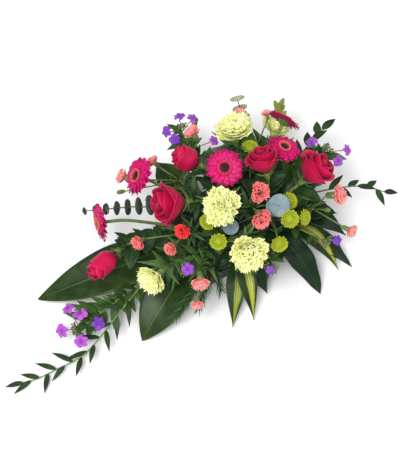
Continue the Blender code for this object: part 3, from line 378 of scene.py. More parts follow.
class Form:
    """A piece while it is being made: points in millimetres, quads, and what its shaders read."""

    def __init__(self):
        self.points, self.faces, self.across, self.traits, self.slots = [], [], [], [], []
        self.count = 0

    def add(self, points, faces, across, trait, slot=0):
        """Add a body. across holds each point's place across and along it; trait is three numbers."""
        self.points.append(points)
        self.faces.append(faces + self.count)
        self.across.append(across)
        self.traits.append(np.broadcast_to(trait, points.shape))
        self.slots.append(np.full(len(faces), slot))
        self.count += len(points)

    def place(self, other, matrix):
        """Add all of another form, moved by a matrix."""
        turn, shift = np.array(matrix.to_3x3()), np.array(matrix.translation)
        for points, faces, across, trait, slots in zip(other.points, other.faces, other.across,
                                                       other.traits, other.slots):
            self.points.append(points @ turn.T + shift)
            self.faces.append(faces + self.count)
            self.across.append(across)
            self.traits.append(trait)
            self.slots.append(slots)
        self.count += other.count

    def make(self, name, node, slot, *looks):
        """Finish the piece, which rides on the part and stands for one of its nodes."""
        points = np.concatenate(self.points).astype(np.float32) * MM
        faces = np.concatenate(self.faces).astype(np.int32)
        mesh = bpy.data.meshes.new(name)
        mesh.vertices.add(len(points))
        mesh.vertices.foreach_set("co", points.ravel())
        mesh.loops.add(faces.size)
        mesh.loops.foreach_set("vertex_index", faces.ravel())
        mesh.polygons.add(len(faces))
        mesh.polygons.foreach_set("loop_start", np.arange(0, faces.size, 4, dtype=np.int32))
        mesh.polygons.foreach_set("material_index", np.concatenate(self.slots).astype(np.int32))
        mesh.polygons.foreach_set("use_smooth", np.ones(len(faces), dtype=bool))
        mesh.update(calc_edges=True)
        across = np.concatenate(self.across).astype(np.float32)
        layer = mesh.uv_layers.new(name="form")
        layer.data.foreach_set("uv", across[faces.ravel()].ravel())
        traits = np.concatenate(self.traits).astype(np.float32)
        mesh.attributes.new("trait", "FLOAT_VECTOR", "POINT").data.foreach_set("vector", traits.ravel())
        for look in looks:
            mesh.materials.append(LOOKS[look])
        piece = add_object(name, mesh)
        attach(piece, "root")
        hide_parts(node)


def lattice(rows, across, closed=False):
    """Quads between rows of points; closed joins each row's last point to its first."""
    i = np.arange(rows - 1)[:, None] * across
    j = np.arange(across if closed else across - 1)[None]
    k = (j + 1) % across
    return np.stack([i + j, i + k, i + across + k, i + across + j], -1).reshape(-1, 4)


def span(grid):
    """Shares along (0 to 1) and across (-1 to 1) for each point of a grid."""
    return np.meshgrid(np.linspace(0, 1, grid[0]), np.linspace(-1, 1, grid[1]), indexing="ij")


def sheet(form, points, thickness, trait, slot=0):
    """Add a thin closed body about a grid of points, with rows along it and columns across it."""
    rows, across = points.shape[:2]
    normal = np.cross(np.gradient(points, axis=0), np.gradient(points, axis=1))
    normal /= np.linalg.norm(normal, axis=2, keepdims=True) + 1e-9
    half = normal * thickness / 2
    both = np.concatenate([(points + half).reshape(-1, 3), (points - half).reshape(-1, 3)])
    index = np.arange(rows * across).reshape(rows, across)
    loop = np.concatenate([index[0, :-1], index[:-1, -1], index[-1, :0:-1], index[:0:-1, 0]])
    ahead = np.roll(loop, -1)
    under = rows * across
    top = lattice(rows, across)[:, ::-1]
    rim = np.stack([loop, ahead, ahead + under, loop + under], -1)
    u, v = span((rows, across))
    place = np.stack([(v + 1) / 2, u], -1).reshape(-1, 2)
    sides = np.tile(np.array(trait, float), (2 * under, 1))
    sides[under:, 1] = 1.0
    form.add(both, np.concatenate([top, lattice(rows, across) + under, rim]),
             np.tile(place, (2, 1)), sides, slot)


def smooth(route):
    """The route with its corners cut twice, ends kept."""
    points = [Vector(p) for p in route]
    for _ in range(2):
        cut = [points[0]]
        for a, b in zip(points, points[1:]):
            cut += [a.lerp(b, 0.25), a.lerp(b, 0.75)]
        points = cut + [points[-1]]
    return points


def rings(form, grid, trait, slot):
    """Add a body whose rows of points are closed rings."""
    rows, sides = grid.shape[:2]
    u, v = span((rows, sides))
    form.add(grid.reshape(-1, 3), lattice(rows, sides, True),
             np.stack([(v + 1) / 2, u], -1).reshape(-1, 2), trait, slot)


def tube(form, route, radii, sides=8, trait=(0.5, 0.0, 0.0), slot=0):
    """Add a round stem along a route, with closed ends."""
    points = np.array([tuple(p) for p in route])
    radii = np.concatenate([[END], np.broadcast_to(radii, len(points)), [END]])
    points = np.concatenate([points[:1], points, points[-1:]])
    tangent = np.gradient(points, axis=0)
    tangent[0], tangent[-1] = tangent[1], tangent[-2]
    tangent /= np.linalg.norm(tangent, axis=1, keepdims=True) + 1e-9
    aside = np.cross(tangent, (0.02, 0.03, 1.0))
    aside /= np.linalg.norm(aside, axis=1, keepdims=True) + 1e-9
    upward = np.cross(aside, tangent)
    turn = np.linspace(0, math.tau, sides, endpoint=False)[None, :, None]
    ring = aside[:, None] * np.cos(turn) + upward[:, None] * np.sin(turn)
    rings(form, points[:, None] + ring * radii[:, None, None], trait, slot)


def about_axis(reach, angle, rise):
    """Points at these distances from +Z, at these turns about it and at these heights."""
    return np.stack([reach * np.cos(angle), reach * np.sin(angle), rise], -1)


def turned(form, profile, sides=12, trait=(0.5, 0.0, 0.0), slot=0, wave=0, depth=0.0, size=1.0):
    """Add a body turned about +Z from (radius, height) pairs, its rim waved if asked."""
    rows = np.array(profile, float) * size
    rows = np.concatenate([[(END, rows[0, 1])], rows, [(END, rows[-1, 1])]])
    turn = np.linspace(0, math.tau, sides, endpoint=False)
    radius = rows[:, :1] * (1 + depth * np.cos(wave * turn))
    rings(form, about_axis(radius, turn, rows[:, 1:].repeat(sides, 1)), trait, slot)


def green(node):
    """The form that collects a node's stems and leaves."""
    return GREENS.setdefault(node, Form())


# leaves

# for each kind: where it is widest, how blunt, teeth, fold, ripple, thickness, grid and material slot
LEAF_KINDS = {
    "rose": (0.42, 0.75, 11, 0.28, 0.02, 0.5, (23, 7), 1),
    "carnation": (0.3, 0.8, 0, 0.5, 0.0, 0.7, NARROW_GRID, 2),
    "button": (0.5, 0.7, 4, 0.2, 0.04, 0.6, (19, 7), 3),
    "phlox": (0.4, 0.9, 0, 0.3, 0.02, 0.5, (12, 5), 3),
    "ruscus": (0.4, 0.9, 0, 0.25, 0.0, 0.5, (12, 5), 1),
    "pittosporum": (0.5, 0.65, 0, 0.3, 0.03, 0.5, (12, 7), 1),
}


def blade(form, path, width, fold, ripple, thickness, grid, trait, slot, widest, blunt, teeth=0):
    """Add a leaf along a curve: folded at its midrib, pointed at its tip, on a short stalk."""
    u, v = span(grid)
    path = np.array([tuple(p) for p in along(path, grid[0] - 1)])
    tangent = np.gradient(path, axis=0)
    tangent /= np.linalg.norm(tangent, axis=1, keepdims=True)
    across = np.stack([-tangent[:, 1], tangent[:, 0], 0 * tangent[:, 0]], -1)
    across += np.array((0.0, 1e-4, 0.0))
    across /= np.linalg.norm(across, axis=1, keepdims=True)
    normal = np.cross(tangent, across)
    warp = math.log(0.5) / math.log(widest)
    half = 0.5 * width * np.sin(math.pi * np.clip(u ** warp, 0.0, 1.0)) ** blunt
    half = np.maximum(half, 0.4 + 0.5 * thickness * (1 - u))
    if teeth:
        half *= 1 - 0.10 * np.abs(v) * ((u * teeth) % 1.0)
    rise = np.sqrt(v * v + 0.012) - math.sqrt(0.012)
    wave = ripple * width * np.sin(math.tau * (3.2 * u + 0.3 * trait[0]) + 1.2 * np.sign(v)) * v * v
    droop = 0.10 * width * fold * v ** 4
    points = (path[:, None] + across[:, None] * (half * v * math.cos(fold))[..., None]
              + normal[:, None] * (half * rise * math.sin(fold) + wave - droop)[..., None])
    sheet(form, points, thickness, trait, slot)


def small_leaf(form, start, tip, width, sag, kind, index):
    """Add a leaf of a known kind from a stem's axis to a tip."""
    widest, blunt, teeth, fold, ripple, thickness, grid, slot = LEAF_KINDS[kind]
    middle = start.lerp(tip, 0.5) + Vector((0, 0, 2 * sag * (tip - start).length))
    trait = (0.5 + 0.5 * math.sin(2.3 * index), 0.0, 0.0)
    blade(form, (start, middle, tip), width, fold, ripple, thickness, grid, trait, slot,
          widest, blunt, teeth)


# flowers

# rounds of rose petals: number, radius, foot and top as shares of the height, half angle, flare
ROSE_ROUNDS = [(3, 0.33, -0.40, 0.90, 1.30, 0.0), (3, 0.53, -0.60, 0.84, 1.25, 0.03),
               (3, 0.74, -0.72, 0.72, 1.25, 0.10), (3, 0.90, -0.78, 0.56, 1.35, 0.22)]
ROSE_HEART_TURNS = 2.6
# a head at least this tall for its radius is a bud
ROSE_BUD_TALL = 1.1


def petal(form, out, aside, rise, turn, radius, thickness, trait, slot=0):
    """Add a petal from its points' shares of the bloom's radius: outward at a turn, aside and up."""
    points = np.stack([out * math.cos(turn) - aside * math.sin(turn),
                       out * math.sin(turn) + aside * math.cos(turn), rise], -1) * radius
    sheet(form, points, thickness, trait, slot)


def sepals(form, count, first, path, width, fold, thickness, grid, chance, widest):
    """Add a ring of narrow leaves, each along a path of distances from the axis and heights."""
    for k in range(count):
        turn = first + k * math.tau / count
        out = Vector((math.cos(turn), math.sin(turn), 0))
        blade(form, [out * far + Vector((0, 0, high)) for far, high in path], width, fold, 0.0, thickness,
              grid, (chance, 0.0, 0.0), 0, widest, 0.8)


def bloom(head, name, part, slot, middle, look, *looks):
    """Turn a single head to its look, and finish it."""
    petals = Form()
    petals.place(head, facing(middle, look))
    petals.make(name + part, name, slot, *looks)


def rose_heart(head, radius, tall, spin):
    """Add the rolled petal at the heart of a rose."""
    u, v = span(HEART_GRID)
    share = (v + 1) / 2
    angle = spin + math.tau * ROSE_HEART_TURNS * share
    reach = 0.04 + 0.20 * share + 0.03 * u * share
    rise = tall * (-0.3 + (1.18 - 0.05 * share + 0.025 * np.sin(3 * angle)) * u)
    # set in the lowest tier, the rolled heart takes the painted shade of the heart's petals
    sheet(head, about_axis(reach, angle, rise) * radius, 0.4, (0.4, 0.0, 0.0))


def rose(name, middle, look, diameter, tall):
    """Rose: overlapping cupped petals, the outer ones rolled back, with sepals, stem and leaves."""
    radius = diameter / 2
    draw = random.Random(name)
    spin = draw.uniform(0, math.tau)
    head = Form()
    rose_heart(head, radius, tall, spin)
    roll, swelling = (1.0, 0.8) if tall < ROSE_BUD_TALL else (0.3, 0.45)
    for ring, (count, wide, low, top, spread, flare) in enumerate(ROSE_ROUNDS):
        for k in range(count):
            u, v = span(ROSE_GRID)
            turn = spin + 1.3 * ring + k * math.tau / count + draw.uniform(-0.15, 0.15)
            angle = turn + spread * v * (0.40 + 0.60 * np.sin(math.pi / 2 * np.minimum(1, u / 0.6)))
            cup = np.sin(math.pi / 2 * np.minimum(1, u / swelling)) ** 1.1
            rim = np.clip((u - 0.66) / 0.34, 0, 1)
            corner = np.exp(-(v / 0.30) ** 2)
            fold = flare * roll * rim ** 2 * (1.15 - 0.55 * corner)
            reach = 0.13 + (wide - 0.13) * cup + fold + 0.10 * flare * corner * rim
            reach += (0.03 + 0.03 * wide) * v * u - 0.06 * wide * rim * (1 - roll)
            reach *= 1 + draw.uniform(-0.025, 0.025)
            edge = 1 - 0.20 * np.abs(v) ** 2.4 + 0.04 * corner * rim
            rise = tall * (low + (top - low) * u * edge) - 0.75 * fold * rim
            rise += (0.015 + 0.02 * wide) * np.sin(4.5 * v + 3 * ring + 2 * k) * u * u
            trait = (draw.random(), 0.0, (ring + 1) / 4)
            sheet(head, about_axis(reach, angle, rise) * radius, 0.45, trait)
    bloom(head, name, "_petals", "rose_petal", middle, look, "rose_petal")
    take(name, middle, middle, radius)
    bottom = Vector(middle) - unit(*look) * (0.8 * radius * tall + GAP)
    route = stem_route(bottom - unit(*look) * 4, look, ROSE_NECK)
    stem = name + "_stem"
    stand(stem, route, ROSE_STEM)
    calyx = Form()
    turned(calyx, [(2.8, -13), (3.4, -10), (4.8, -7), (5.6, -4), (5.2, -2), (3.6, -0.3)], 14)
    path = ((3.5, -3), (0.42 * radius, -0.10 * radius), (0.66 * radius, 0.16 * radius))
    sepals(calyx, 5, spin + math.tau / 10, path, 5.5, 0.15, 0.5, NARROW_GRID, 0.9, 0.3)
    green(stem).place(calyx, facing(bottom, look))
    tube(green(stem), smooth(route), ROSE_STEM, 10)
    places = [(0.36, 70), (0.45, 0), (0.5, 210), (0.55, 140), (0.65, 260), (0.75, 30), (0.82, 180)]
    leaves_on(stem, route, places, 58, 50, 28, 0.1, "rose")
    FILLED.append((stem, route, (("rose", 34, 18), ("rose", 26, 14), ("ruscus", 36, 11))))


# rounds of gerbera rays: number, length, root, height of root and tip, half width, material slot
GERBERA_ROUNDS = [(16, 1.00, 0.22, -0.02, 0.06, 0.185, 0), (15, 0.95, 0.22, 0.03, 0.14, 0.165, 0),
                  (14, 0.72, 0.26, 0.08, 0.20, 0.11, 0), (34, 0.42, 0.27, 0.13, 0.19, 0.035, 0)]
# florets of a gerbera's eye, from its rim in: the ring's inner radius, material slot, floret's height
EYE_RINGS = [(0.265, 1, 0.15), (0.18, 0, 0.05), (0.0, 2, 0.06)]


def gerbera(name, middle, look, diameter):
    """Mini gerbera: rounds of grooved rays, a ring of pale florets and a dark eye."""
    radius = diameter / 2
    draw = random.Random(name)
    head = Form()
    for ring, (count, long, root, low, high, half, slot) in enumerate(GERBERA_ROUNDS):
        for k in range(count):
            u, v = span(GERBERA_GRID)
            turn = (k + 0.5 * (ring % 2) + draw.uniform(-0.2, 0.2)) * math.tau / count
            tip = (long - root) * (1 + draw.uniform(-0.10, 0.02) * (1 + ring))
            width = half * np.minimum(1, 0.42 + 0.95 * u) * (1 - 0.62 * np.clip((u - 0.72) / 0.28, 0, 1) ** 2)
            out = root + tip * u * (1 - 0.06 * v * v - 0.025 * np.cos(math.tau * v) * u)
            rise = low + (high - low) * np.sin(math.pi / 2 * u) - 0.06 * u ** 3
            rise = rise + 0.012 * np.cos(math.tau * v) + (draw.uniform(-0.03, 0.03) + 0.06 * v * tip) * u
            petal(head, out, width * v, rise, turn, radius, 0.5, (draw.random(), 0.0, ring / 3), slot)
    turned(head, [(0.0, -0.02), (0.22, 0.02), (0.26, 0.10), (0.22, 0.14), (0.12, 0.15), (0.02, 0.13)], 20,
           slot=2, size=radius)
    for k in range(EYE_FLORETS):
        far = 0.31 * math.sqrt((k + 0.5) / EYE_FLORETS)
        slot, high = next((slot, high) for least, slot, high in EYE_RINGS if far > least)
        out = Vector((math.cos(k * GOLDEN), math.sin(k * GOLDEN), 0)) * far
        base = (out + Vector((0, 0, 0.14))) * radius
        tube(head, [base, base + (out * 0.1 + Vector((0, 0, high))) * radius], [0.6, 0.45], 5,
             (0.5 + 0.5 * math.sin(k), 0, 1), slot)
    bloom(head, name, "_rays", "gerbera_petal", middle, look, "gerbera_petal", "gerbera_ring", "gerbera_eye")
    route = stem_route(Vector(middle) - unit(*look) * 0.25 * radius, look, GERBERA_NECK)
    stand(name, route, GERBERA_STEM)
    take(name, middle, middle, 0.8 * radius)
    cup = Form()
    turned(cup, [(2.6, -9), (5.0, -6.5), (0.25 * radius, -3.0), (0.27 * radius, -0.5)], 16,
           (0.7, 0, 0), 0, 8, 0.05)
    sepals(cup, 16, 0.0, ((4.5, -7), (8.5, -4), (10.5, -0.5)), 3.0, 0.1, 0.4, SEPAL_GRID, 0.3, 0.4)
    green(name).place(cup, facing(middle, look))
    tube(green(name), smooth(route), GERBERA_STEM, 10)


def ruffles(form, radius, count, draw, grid, foot=-0.35, top=0.60, frill=0.14, broad=0.28, slot=0):
    """Add a carnation's dome of fringed, ruffled petals about +Z, in lobes of uneven reach."""
    first, second = draw.uniform(0, math.tau), draw.uniform(0, math.tau)
    for k in range(count):
        share = min(1.0, math.sqrt((k + 0.5) / count) * draw.uniform(0.93, 1.07))
        u, v = span(grid)
        turn = k * GOLDEN + draw.uniform(-0.8, 0.8)
        rim = share * (0.95 + 0.02 * math.sin(2 * turn + first) + 0.05 * math.sin(5 * turn + second))
        crest = top * max(0.0, 1 - share ** 2.4) ** 0.7 - 0.04 * share + draw.uniform(-0.09, 0.13)
        out = 0.06 + (rim - 0.06) * u ** 0.9
        rise = foot + (crest - foot) * u ** (1.0 + 0.4 * share)
        spread = 0.05 + (broad + 0.10 * share) * u ** 0.7
        phase, twist = draw.uniform(0, math.tau), draw.uniform(-0.7, 0.7)
        fringe = 1 - 0.05 * v * v - 0.06 * (np.arange(grid[1]) % 2)[None] * u ** 4
        ruffle = frill * u ** 1.5 * (np.sin(7 * v + phase) + 0.8 * np.sin(14 * v + 2.3 * phase) + twist * v)
        tilt = math.radians(60 * share ** 1.5)
        rise = foot + (rise - foot) * fringe + ruffle * math.sin(tilt)
        out = 0.06 + (out - 0.06) * fringe + ruffle * math.cos(tilt)
        out -= 0.26 * share * (1 - np.cos(1.25 * v)) * u
        aside = spread * np.sin(1.25 * v) + 0.5 * ruffle * np.cos(8 * v + phase)
        petal(form, out, aside, rise, turn, radius, 0.4, (draw.random(), 0.0, share), slot)


def carnation(name, middle, look, diameter):
    """Carnation: a ruffled dome in a toothed calyx, on a stem with narrow grey-green leaves."""
    radius = diameter / 2
    head, calyx = Form(), Form()
    ruffles(head, radius, CARNATION_PETALS, random.Random(name), CARNATION_GRID)
    # a core under the petals fills the gaps between them; set in the lowest tier, it takes the painted shade
    # of the heart's petals
    turned(head, [(0.14, -0.61), (0.28, -0.34), (0.30, -0.05), (0.16, 0.25)], 12, (0.5, 0, 0.0), size=radius)
    bloom(head, name, "_petals", "carnation_petal", middle, look, "carnation_petal")
    take(name, middle, Vector(middle) + unit(*look) * 0.2 * radius, 0.9 * radius)
    bottom = Vector(middle) - unit(*look) * (0.62 * radius + GAP)
    route = stem_route(bottom, look, CARNATION_NECK)
    stem = name + "_stem"
    stand(stem, route, CARNATION_STEM)
    turned(calyx, [(2.6, -25), (4.0, -23), (4.8, -16), (0.17 * radius, -6), (0.2 * radius, -0.2)], 15,
           (0.6, 0, 0), 0, 5, 0.05)
    green(stem).place(calyx, facing(bottom, look))
    tube(green(stem), smooth(route), CARNATION_STEM, 8)
    places = [(0.35, 90), (0.35, 270), (0.5, 0), (0.5, 180), (0.72, 90)]
    leaves_on(stem, route, places, 42, 58, 10, 0.04, "carnation")
    FILLED.append((stem, route, (("carnation", 46, 8), ("carnation", 34, 7), ("ruscus", 34, 11))))


def forked(owner, heads, drop, radius, fork_share):
    """Stem that forks to several heads; returns the main route."""
    bases = [Vector(middle) - unit(*look) * drop(size) for middle, look, size in heads]
    if len(heads) == 1:
        route = stem_route(bases[0], heads[0][1], SPRAY_NECK)
        stand(owner, route, radius)
        tube(green(owner), smooth(route), radius, 8)
        return route
    centre = sum(bases, Vector()) / len(bases)
    ways = sum((unit(*look) for _, look, _ in heads), Vector())
    out, way = way_out(centre)
    fork = out.lerp(centre - ways.normalized() * 12, fork_share)
    route = [out - way * STEM_DEPTH, out + way * STRAIGHT_OUT, fork]
    stand(owner, route, radius)
    tube(green(owner), smooth(route), radius, 8)
    knot = Form()
    turned(knot, [(1.2 * radius, -2), (1.7 * radius, 0), (1.2 * radius, 2)], 10)
    green(owner).place(knot, facing(fork, look_of(way)))
    for base, (_, look, _) in zip(bases, heads):
        side = [fork - (base - fork).normalized() * 1.2, base + unit(*look) * 1.5]
        tube(green(owner), side, 0.8 * radius, 7)
        take(owner, *side, radius)
    return route


def spray(name, *heads):
    """Spray carnation: small ruffled heads in long calyxes on one forked stem."""
    draw = random.Random(name)
    route = forked(name, heads, lambda size: 0.55 * size, SPRAY_STEM, 0.55)
    petals = Form()
    for (middle, look, size), tone in zip(heads, SPRAY_TONES[name]):
        take(name, middle, middle, 0.9 * size / 2)
        radius = size / 2
        head, calyx = Form(), Form()
        ruffles(head, radius, SPRAY_PETALS, draw, SPRAY_GRID, -0.30, 0.70, 0.13, 0.36, tone)
        petals.place(head, facing(middle, look))
        turned(calyx, [(0.12, -1.15), (0.27, -1.0), (0.31, -0.5), (0.35, -0.12)], 15, (0.6, 0, 0),
               0, 5, 0.06, radius)
        green(name).place(calyx, facing(middle, look))
    petals.make(name + "_petals", name, "spray_carnation_petal", "coral_petal", "scarlet_petal", "pink_petal")
    if name in SPRAY_BUDS:
        tip = Vector(SPRAY_BUDS[name])
        ahead = (tip - route[-1]).normalized()
        closed = Form()
        turned(closed, [(1.2, -14), (2.8, -12.5), (3.6, -8), (3.8, -4), (2.8, -1), (1.2, 0)], 15,
               (0.6, 0, 0), 0, 5, 0.06)
        green(name).place(closed, facing(tip, look_of(ahead)))
        tube(green(name), [route[-1], tip - ahead * 12], 0.7 * SPRAY_STEM, 6)
        take(name, route[-1], tip, 3)
    leaves_on(name, route, [(0.5, 30), (0.65, 210), (0.8, 120)], 45, 44, 9, 0.05, "carnation")
    FILLED.append((name, route, (("carnation", 36, 7), ("carnation", 26, 6), ("ruscus", 30, 10))))


def buttons(name, *heads):
    """Button chrysanthemums: domes of packed florets on one forked stem with lobed leaves."""
    draw = random.Random(name)
    route = forked(name, heads, lambda size: 0.24 * size, SPRAY_STEM, 0.5)
    petals = Form()
    for middle, look, size in heads:
        take(name, middle, middle, 0.9 * size / 2)
        radius = size / 2
        head, cup = Form(), Form()
        for k in range(BUTTON_FLORETS):
            share = math.sqrt((k + 0.5) / BUTTON_FLORETS)
            u, v = span(BUTTON_GRID)
            long = 0.14 + 0.14 * share
            lean = math.radians(8 + 74 * share ** 1.5)
            out = 0.76 * share + long * u * math.sin(lean)
            rise = 0.30 * (1 - share * share) ** 0.6 - 0.04 + long * u * math.cos(lean)
            rise += 0.03 * v * v * (1 - share)
            aside = (0.035 + 0.075 * share) * np.sin(math.pi * (0.2 + 0.62 * u)) * v
            petal(head, out, aside, rise, k * GOLDEN, radius, 0.5, (draw.random(), 0.0, share))
        turned(head, [(0.5, -0.12), (0.72, -0.02), (0.6, 0.14), (0.3, 0.26)], 14, (0.4, 0, 0.3), size=radius)
        petals.place(head, facing(middle, look))
        turned(cup, [(1.6, -0.5 * radius), (0.4 * radius, -0.3 * radius), (0.62 * radius, -0.12 * radius),
                     (0.66 * radius, -0.04 * radius)], 14, (0.7, 0, 0), 0, 7, 0.04)
        green(name).place(cup, facing(middle, look))
    petals.make(name + "_florets", name, "button_floret", "button_floret")
    places = [(0.36, 300), (0.45, 0), (0.55, 130), (0.7, 250), (0.85, 20)]
    leaves_on(name, route, places, 60, 50, 26, 0.1, "button")
    FILLED.append((name, route, (("button", 34, 18), ("button", 26, 14), ("phlox", 30, 9))))


def floret(form, middle, look, radius, draw):
    """Add a phlox floret: five round lobes that overlap, about a dark eye."""
    head = Form()
    tone = draw.random()
    for k in range(5):
        u, v = span(LOBE_GRID)
        turn = (k + draw.uniform(-0.06, 0.06)) * math.tau / 5
        out = 0.07 + 0.92 * u * (1 - 0.06 * v * v)
        width = 0.43 * np.sqrt(np.maximum(0.05, 1 - ((u - 0.62) / 0.46) ** 2))
        rise = 0.12 * np.sin(math.pi * u) + 0.13 * v * u - 0.08 * u
        petal(head, out, width * v, rise, turn, radius, 0.35, (tone, 0.0, draw.random()))
    form.place(head, facing(middle, look, draw.uniform(0, 6)))


def phlox(name, centre, florets, buds, leaves):
    """Phlox: florets and buds that spread from the top of a leafy stem."""
    draw = random.Random(name)
    centre = Vector(centre)
    out, way = way_out(centre)
    route = [out - way * STEM_DEPTH, out + way * STRAIGHT_OUT, centre]
    stand(name, route, SPRAY_STEM)
    tube(green(name), route, SPRAY_STEM, 7)
    petals = Form()
    for middle, size in florets:
        middle = Vector(middle)
        near_top = (middle - centre).length < FLORET_REACH
        origin = centre if near_top else point_at(route, 0.75)[0]
        ahead = (middle - origin).normalized()
        floret(petals, middle, look_of(ahead + unit(*TO_LIGHT)), size / 2, draw)
        throat = middle - ahead * 11
        tube(petals, [throat, middle + ahead * 0.6], [0.8, 1.2], 6, (0.5, 0, 0), 1)
        tube(green(name), [origin, throat, throat + ahead * 3], [0.8, 0.8, 1.3], 6)
        take(name, middle - ahead * 2, middle, 0.4 * size)
        take(name, origin, middle, 1.2)
    for k in range(buds):
        lean = leaf_way(way, k * NEXT_TURN, 25 + 9 * k)
        tip = centre + lean * (15 + 3 * math.sin(2.4 * k))
        bud(petals, green(name), centre, tip, lean)
        for n in range(BUDS_BESIDE):
            side = leaf_way(lean, NEXT_TURN * n + 40 * k, 34 + 6 * n)
            fork = centre.lerp(tip, 0.25 + 0.12 * n)
            bud(petals, green(name), fork, fork + side * (11 - n), side)
    take(name, centre, centre, 11)
    petals.make(name + "_petals", name, "phlox_petal", "phlox_petal", "phlox_tube")
    places = [(0.45 + 0.5 * k / max(1, leaves - 1), k * NEXT_TURN) for k in range(leaves)]
    leaves_on(name, route, places, 50, 44, 15, 0.05, "phlox")
    FILLED.append((name, route, (("phlox", 42, 13), ("phlox", 32, 11), ("phlox", 24, 8))))


def bud(petals, stalks, base, tip, ahead):
    """Add a closed bud, most of it sheathed in green, on its stalk."""
    length = (tip - base).length
    shape = Form()
    profile = [(0.9, -0.35 * length), (1.3, -0.22 * length), (1.2, -0.08 * length), (0.3, 0.0)]
    turned(shape, profile, 7, slot=1)
    petals.place(shape, facing(tip, look_of(ahead)))
    tube(stalks, [base, base.lerp(tip, 0.45), base.lerp(tip, 0.62), base.lerp(tip, 0.86)],
         [0.5, 0.6, 1.7, 1.5], 6)


# foliage

def take_blade(owner, path, widths):
    """Note the room of a wide leaf as three lines along it."""
    for k in range(len(path) - 1):
        run = path[k + 1] - path[k]
        across = Vector((-run.y, run.x, 0.0)).normalized()
        for side in (-0.3, 0.0, 0.3):
            shift = [across * side * widths[j] for j in (k, k + 1)]
            take(owner, path[k] + shift[0], path[k + 1] + shift[1], 2 + 0.1 * widths[k])


def leaf_fan(name, *leaves):
    """Large leaves that arch out from one stalk to their tips."""
    reach = LOW_REACH if leaves[0][0][1] < 0 else ROOT_REACH
    middle = sum((Vector(leaf[0]) for leaf in leaves), Vector()) / len(leaves)
    root = root_of(middle, reach)
    flat = middle - root
    pitch = min(leaf[1] for leaf in leaves)
    way = unit(math.degrees(math.atan2(flat.y, flat.x)), pitch)
    out = leaves_foam(root, way)
    fork = out + way * STRAIGHT_OUT
    form = Form()
    tube(form, [out - way * STEM_DEPTH, out, fork + way * 4], [LEAF_STALK, LEAF_STALK, 1.2], 8, slot=1)
    stand(name, [out - way * STEM_DEPTH, fork], LEAF_STALK)
    swell = 0.8 if len(leaves) == 1 else 1.2
    for index, (tip, pitch, width, wave, fold, aside) in enumerate(leaves):
        run = Vector(tip) - fork
        ahead = unit(math.degrees(math.atan2(run.y, run.x)) + aside, pitch)
        curve = (fork, fork + ahead * 0.55 * run.length, tip)
        path = along(curve, FAN_STEPS)
        widths = [width * math.sin(math.pi * (k / FAN_STEPS) ** 0.8) ** swell for k in range(FAN_STEPS)]
        take_blade(name + "_blade", path, widths + [0])
        trait = (0.5 + 0.5 * math.sin(4.1 * index + len(name)), 0.0, 0.0)
        striped = (name, index) in STRIPED
        if striped:
            SHOWN.append(path)
        blade(form, curve, width, fold, 0.005 + 0.45 * wave / width, 0.8, LARGE_GRID, trait,
              2 if striped else 0, 0.42, swell)
    FILLED.append((name, [out, fork + way * 14], (("rose", 52, 26), ("rose", 42, 22), ("button", 44, 22))))
    broad = "aspidistra" if "aspidistra" in name else "glossy_leaf"
    form.make(name + "_blades", name, "leaf_green", broad, "stem", "striped_leaf")


def ruscus(name, points, leaves, length, width):
    """Ruscus stem with pointed glossy leaves set alternately along it."""
    points = [Vector(point) for point in points]
    out, way = way_out(points[0])
    route = [out - way * STEM_DEPTH] + points
    stand(name, route, TWIG)
    bent = smooth(route)
    tube(green(name), bent, np.linspace(TWIG, 0.6 * TWIG, len(bent)), 7)
    for k in range(leaves):
        share = 0.42 + 0.58 * k / (leaves - 1)
        start, tangent = point_at(route, min(share, 0.995))
        side = Vector((-tangent.y, tangent.x, 0.0)).normalized() * (-1) ** k
        lean = 0.0 if k == leaves - 1 else math.radians(42 + 14 * math.sin(1.7 * k))
        rise = 0.35 * math.sin(2.4 * k) * min(1.0, start.z / 60)
        ahead = (tangent * math.cos(lean) + side * math.sin(lean) + Vector((0, 0, rise))).normalized()
        tip = start + ahead * length * (1 - 0.25 * k / leaves + 0.12 * math.sin(2.9 * k))
        tip.z = max(tip.z, FLOOR_CLEAR)
        small_leaf(green(name), start - ahead, tip, width, 0.04, "ruscus", k)
        take(name, start, tip, 0.3 * width)


def round_pair(radius, turns):
    """Two round leaves that stand opposite each other across a stem."""
    pair = Form()
    for half in (0, 1):
        u, v = span(DISC_GRID)
        turn = 0.9 * turns + math.pi * half + v * (0.5 * math.pi + 0.12)
        reach = radius * (0.03 + 0.97 * u * (1 - 0.05 * v ** 8 + 0.03 * np.exp(-(v / 0.12) ** 2)))
        lift = 1.2 * half + radius * (0.16 * u * u + 0.02 * np.sin(4 * v + 3 * turns) * u)
        sheet(pair, about_axis(reach, turn, lift), 0.5, (0.5 + 0.5 * math.sin(1.7 * turns + half), 0.0, 0.0))
    return pair


def eucalyptus(name, bend, end, pairs, first, last, tint):
    """Eucalyptus: a stem that bends, then runs through pairs of round leaves that stand across it."""
    bend, end = Vector(bend), Vector(end)
    out, rising = way_out(bend)
    route = [out - rising * STEM_DEPTH, bend, end]
    stand(name, route, TWIG)
    way = (end - bend).normalized()
    form = Form()
    bent = smooth(route)
    tube(form, bent, np.linspace(TWIG, 0.6 * TWIG, len(bent)), 8, slot=1)
    for k in range(pairs):
        rise = (0.08 + 0.89 * k / (pairs - 1)) * (end - bend).length
        radius = (first + (last - first) * k / (pairs - 1)) / 2
        middle = bend + way * rise
        take(name, middle - way, middle + way * 2, 0.9 * radius)
        form.place(round_pair(radius, k), facing(middle, look_of(way)))
    for share, tip, look, size in EUCALYPTUS_SHOOTS.get(name, ()):
        start, tip = point_at(route, share)[0], Vector(tip)
        take(name, start, tip, 2)
        take(name, tip, tip, 0.4 * size)
        tube(form, smooth([start, start.lerp(tip, 0.5) - unit(0, 90) * 5, tip]), 0.8, 6, slot=1)
        form.place(round_pair(size / 2, 0), facing(tip, look))
    form.make(name + "_leaves", name, "grey_green", tint, "twig")


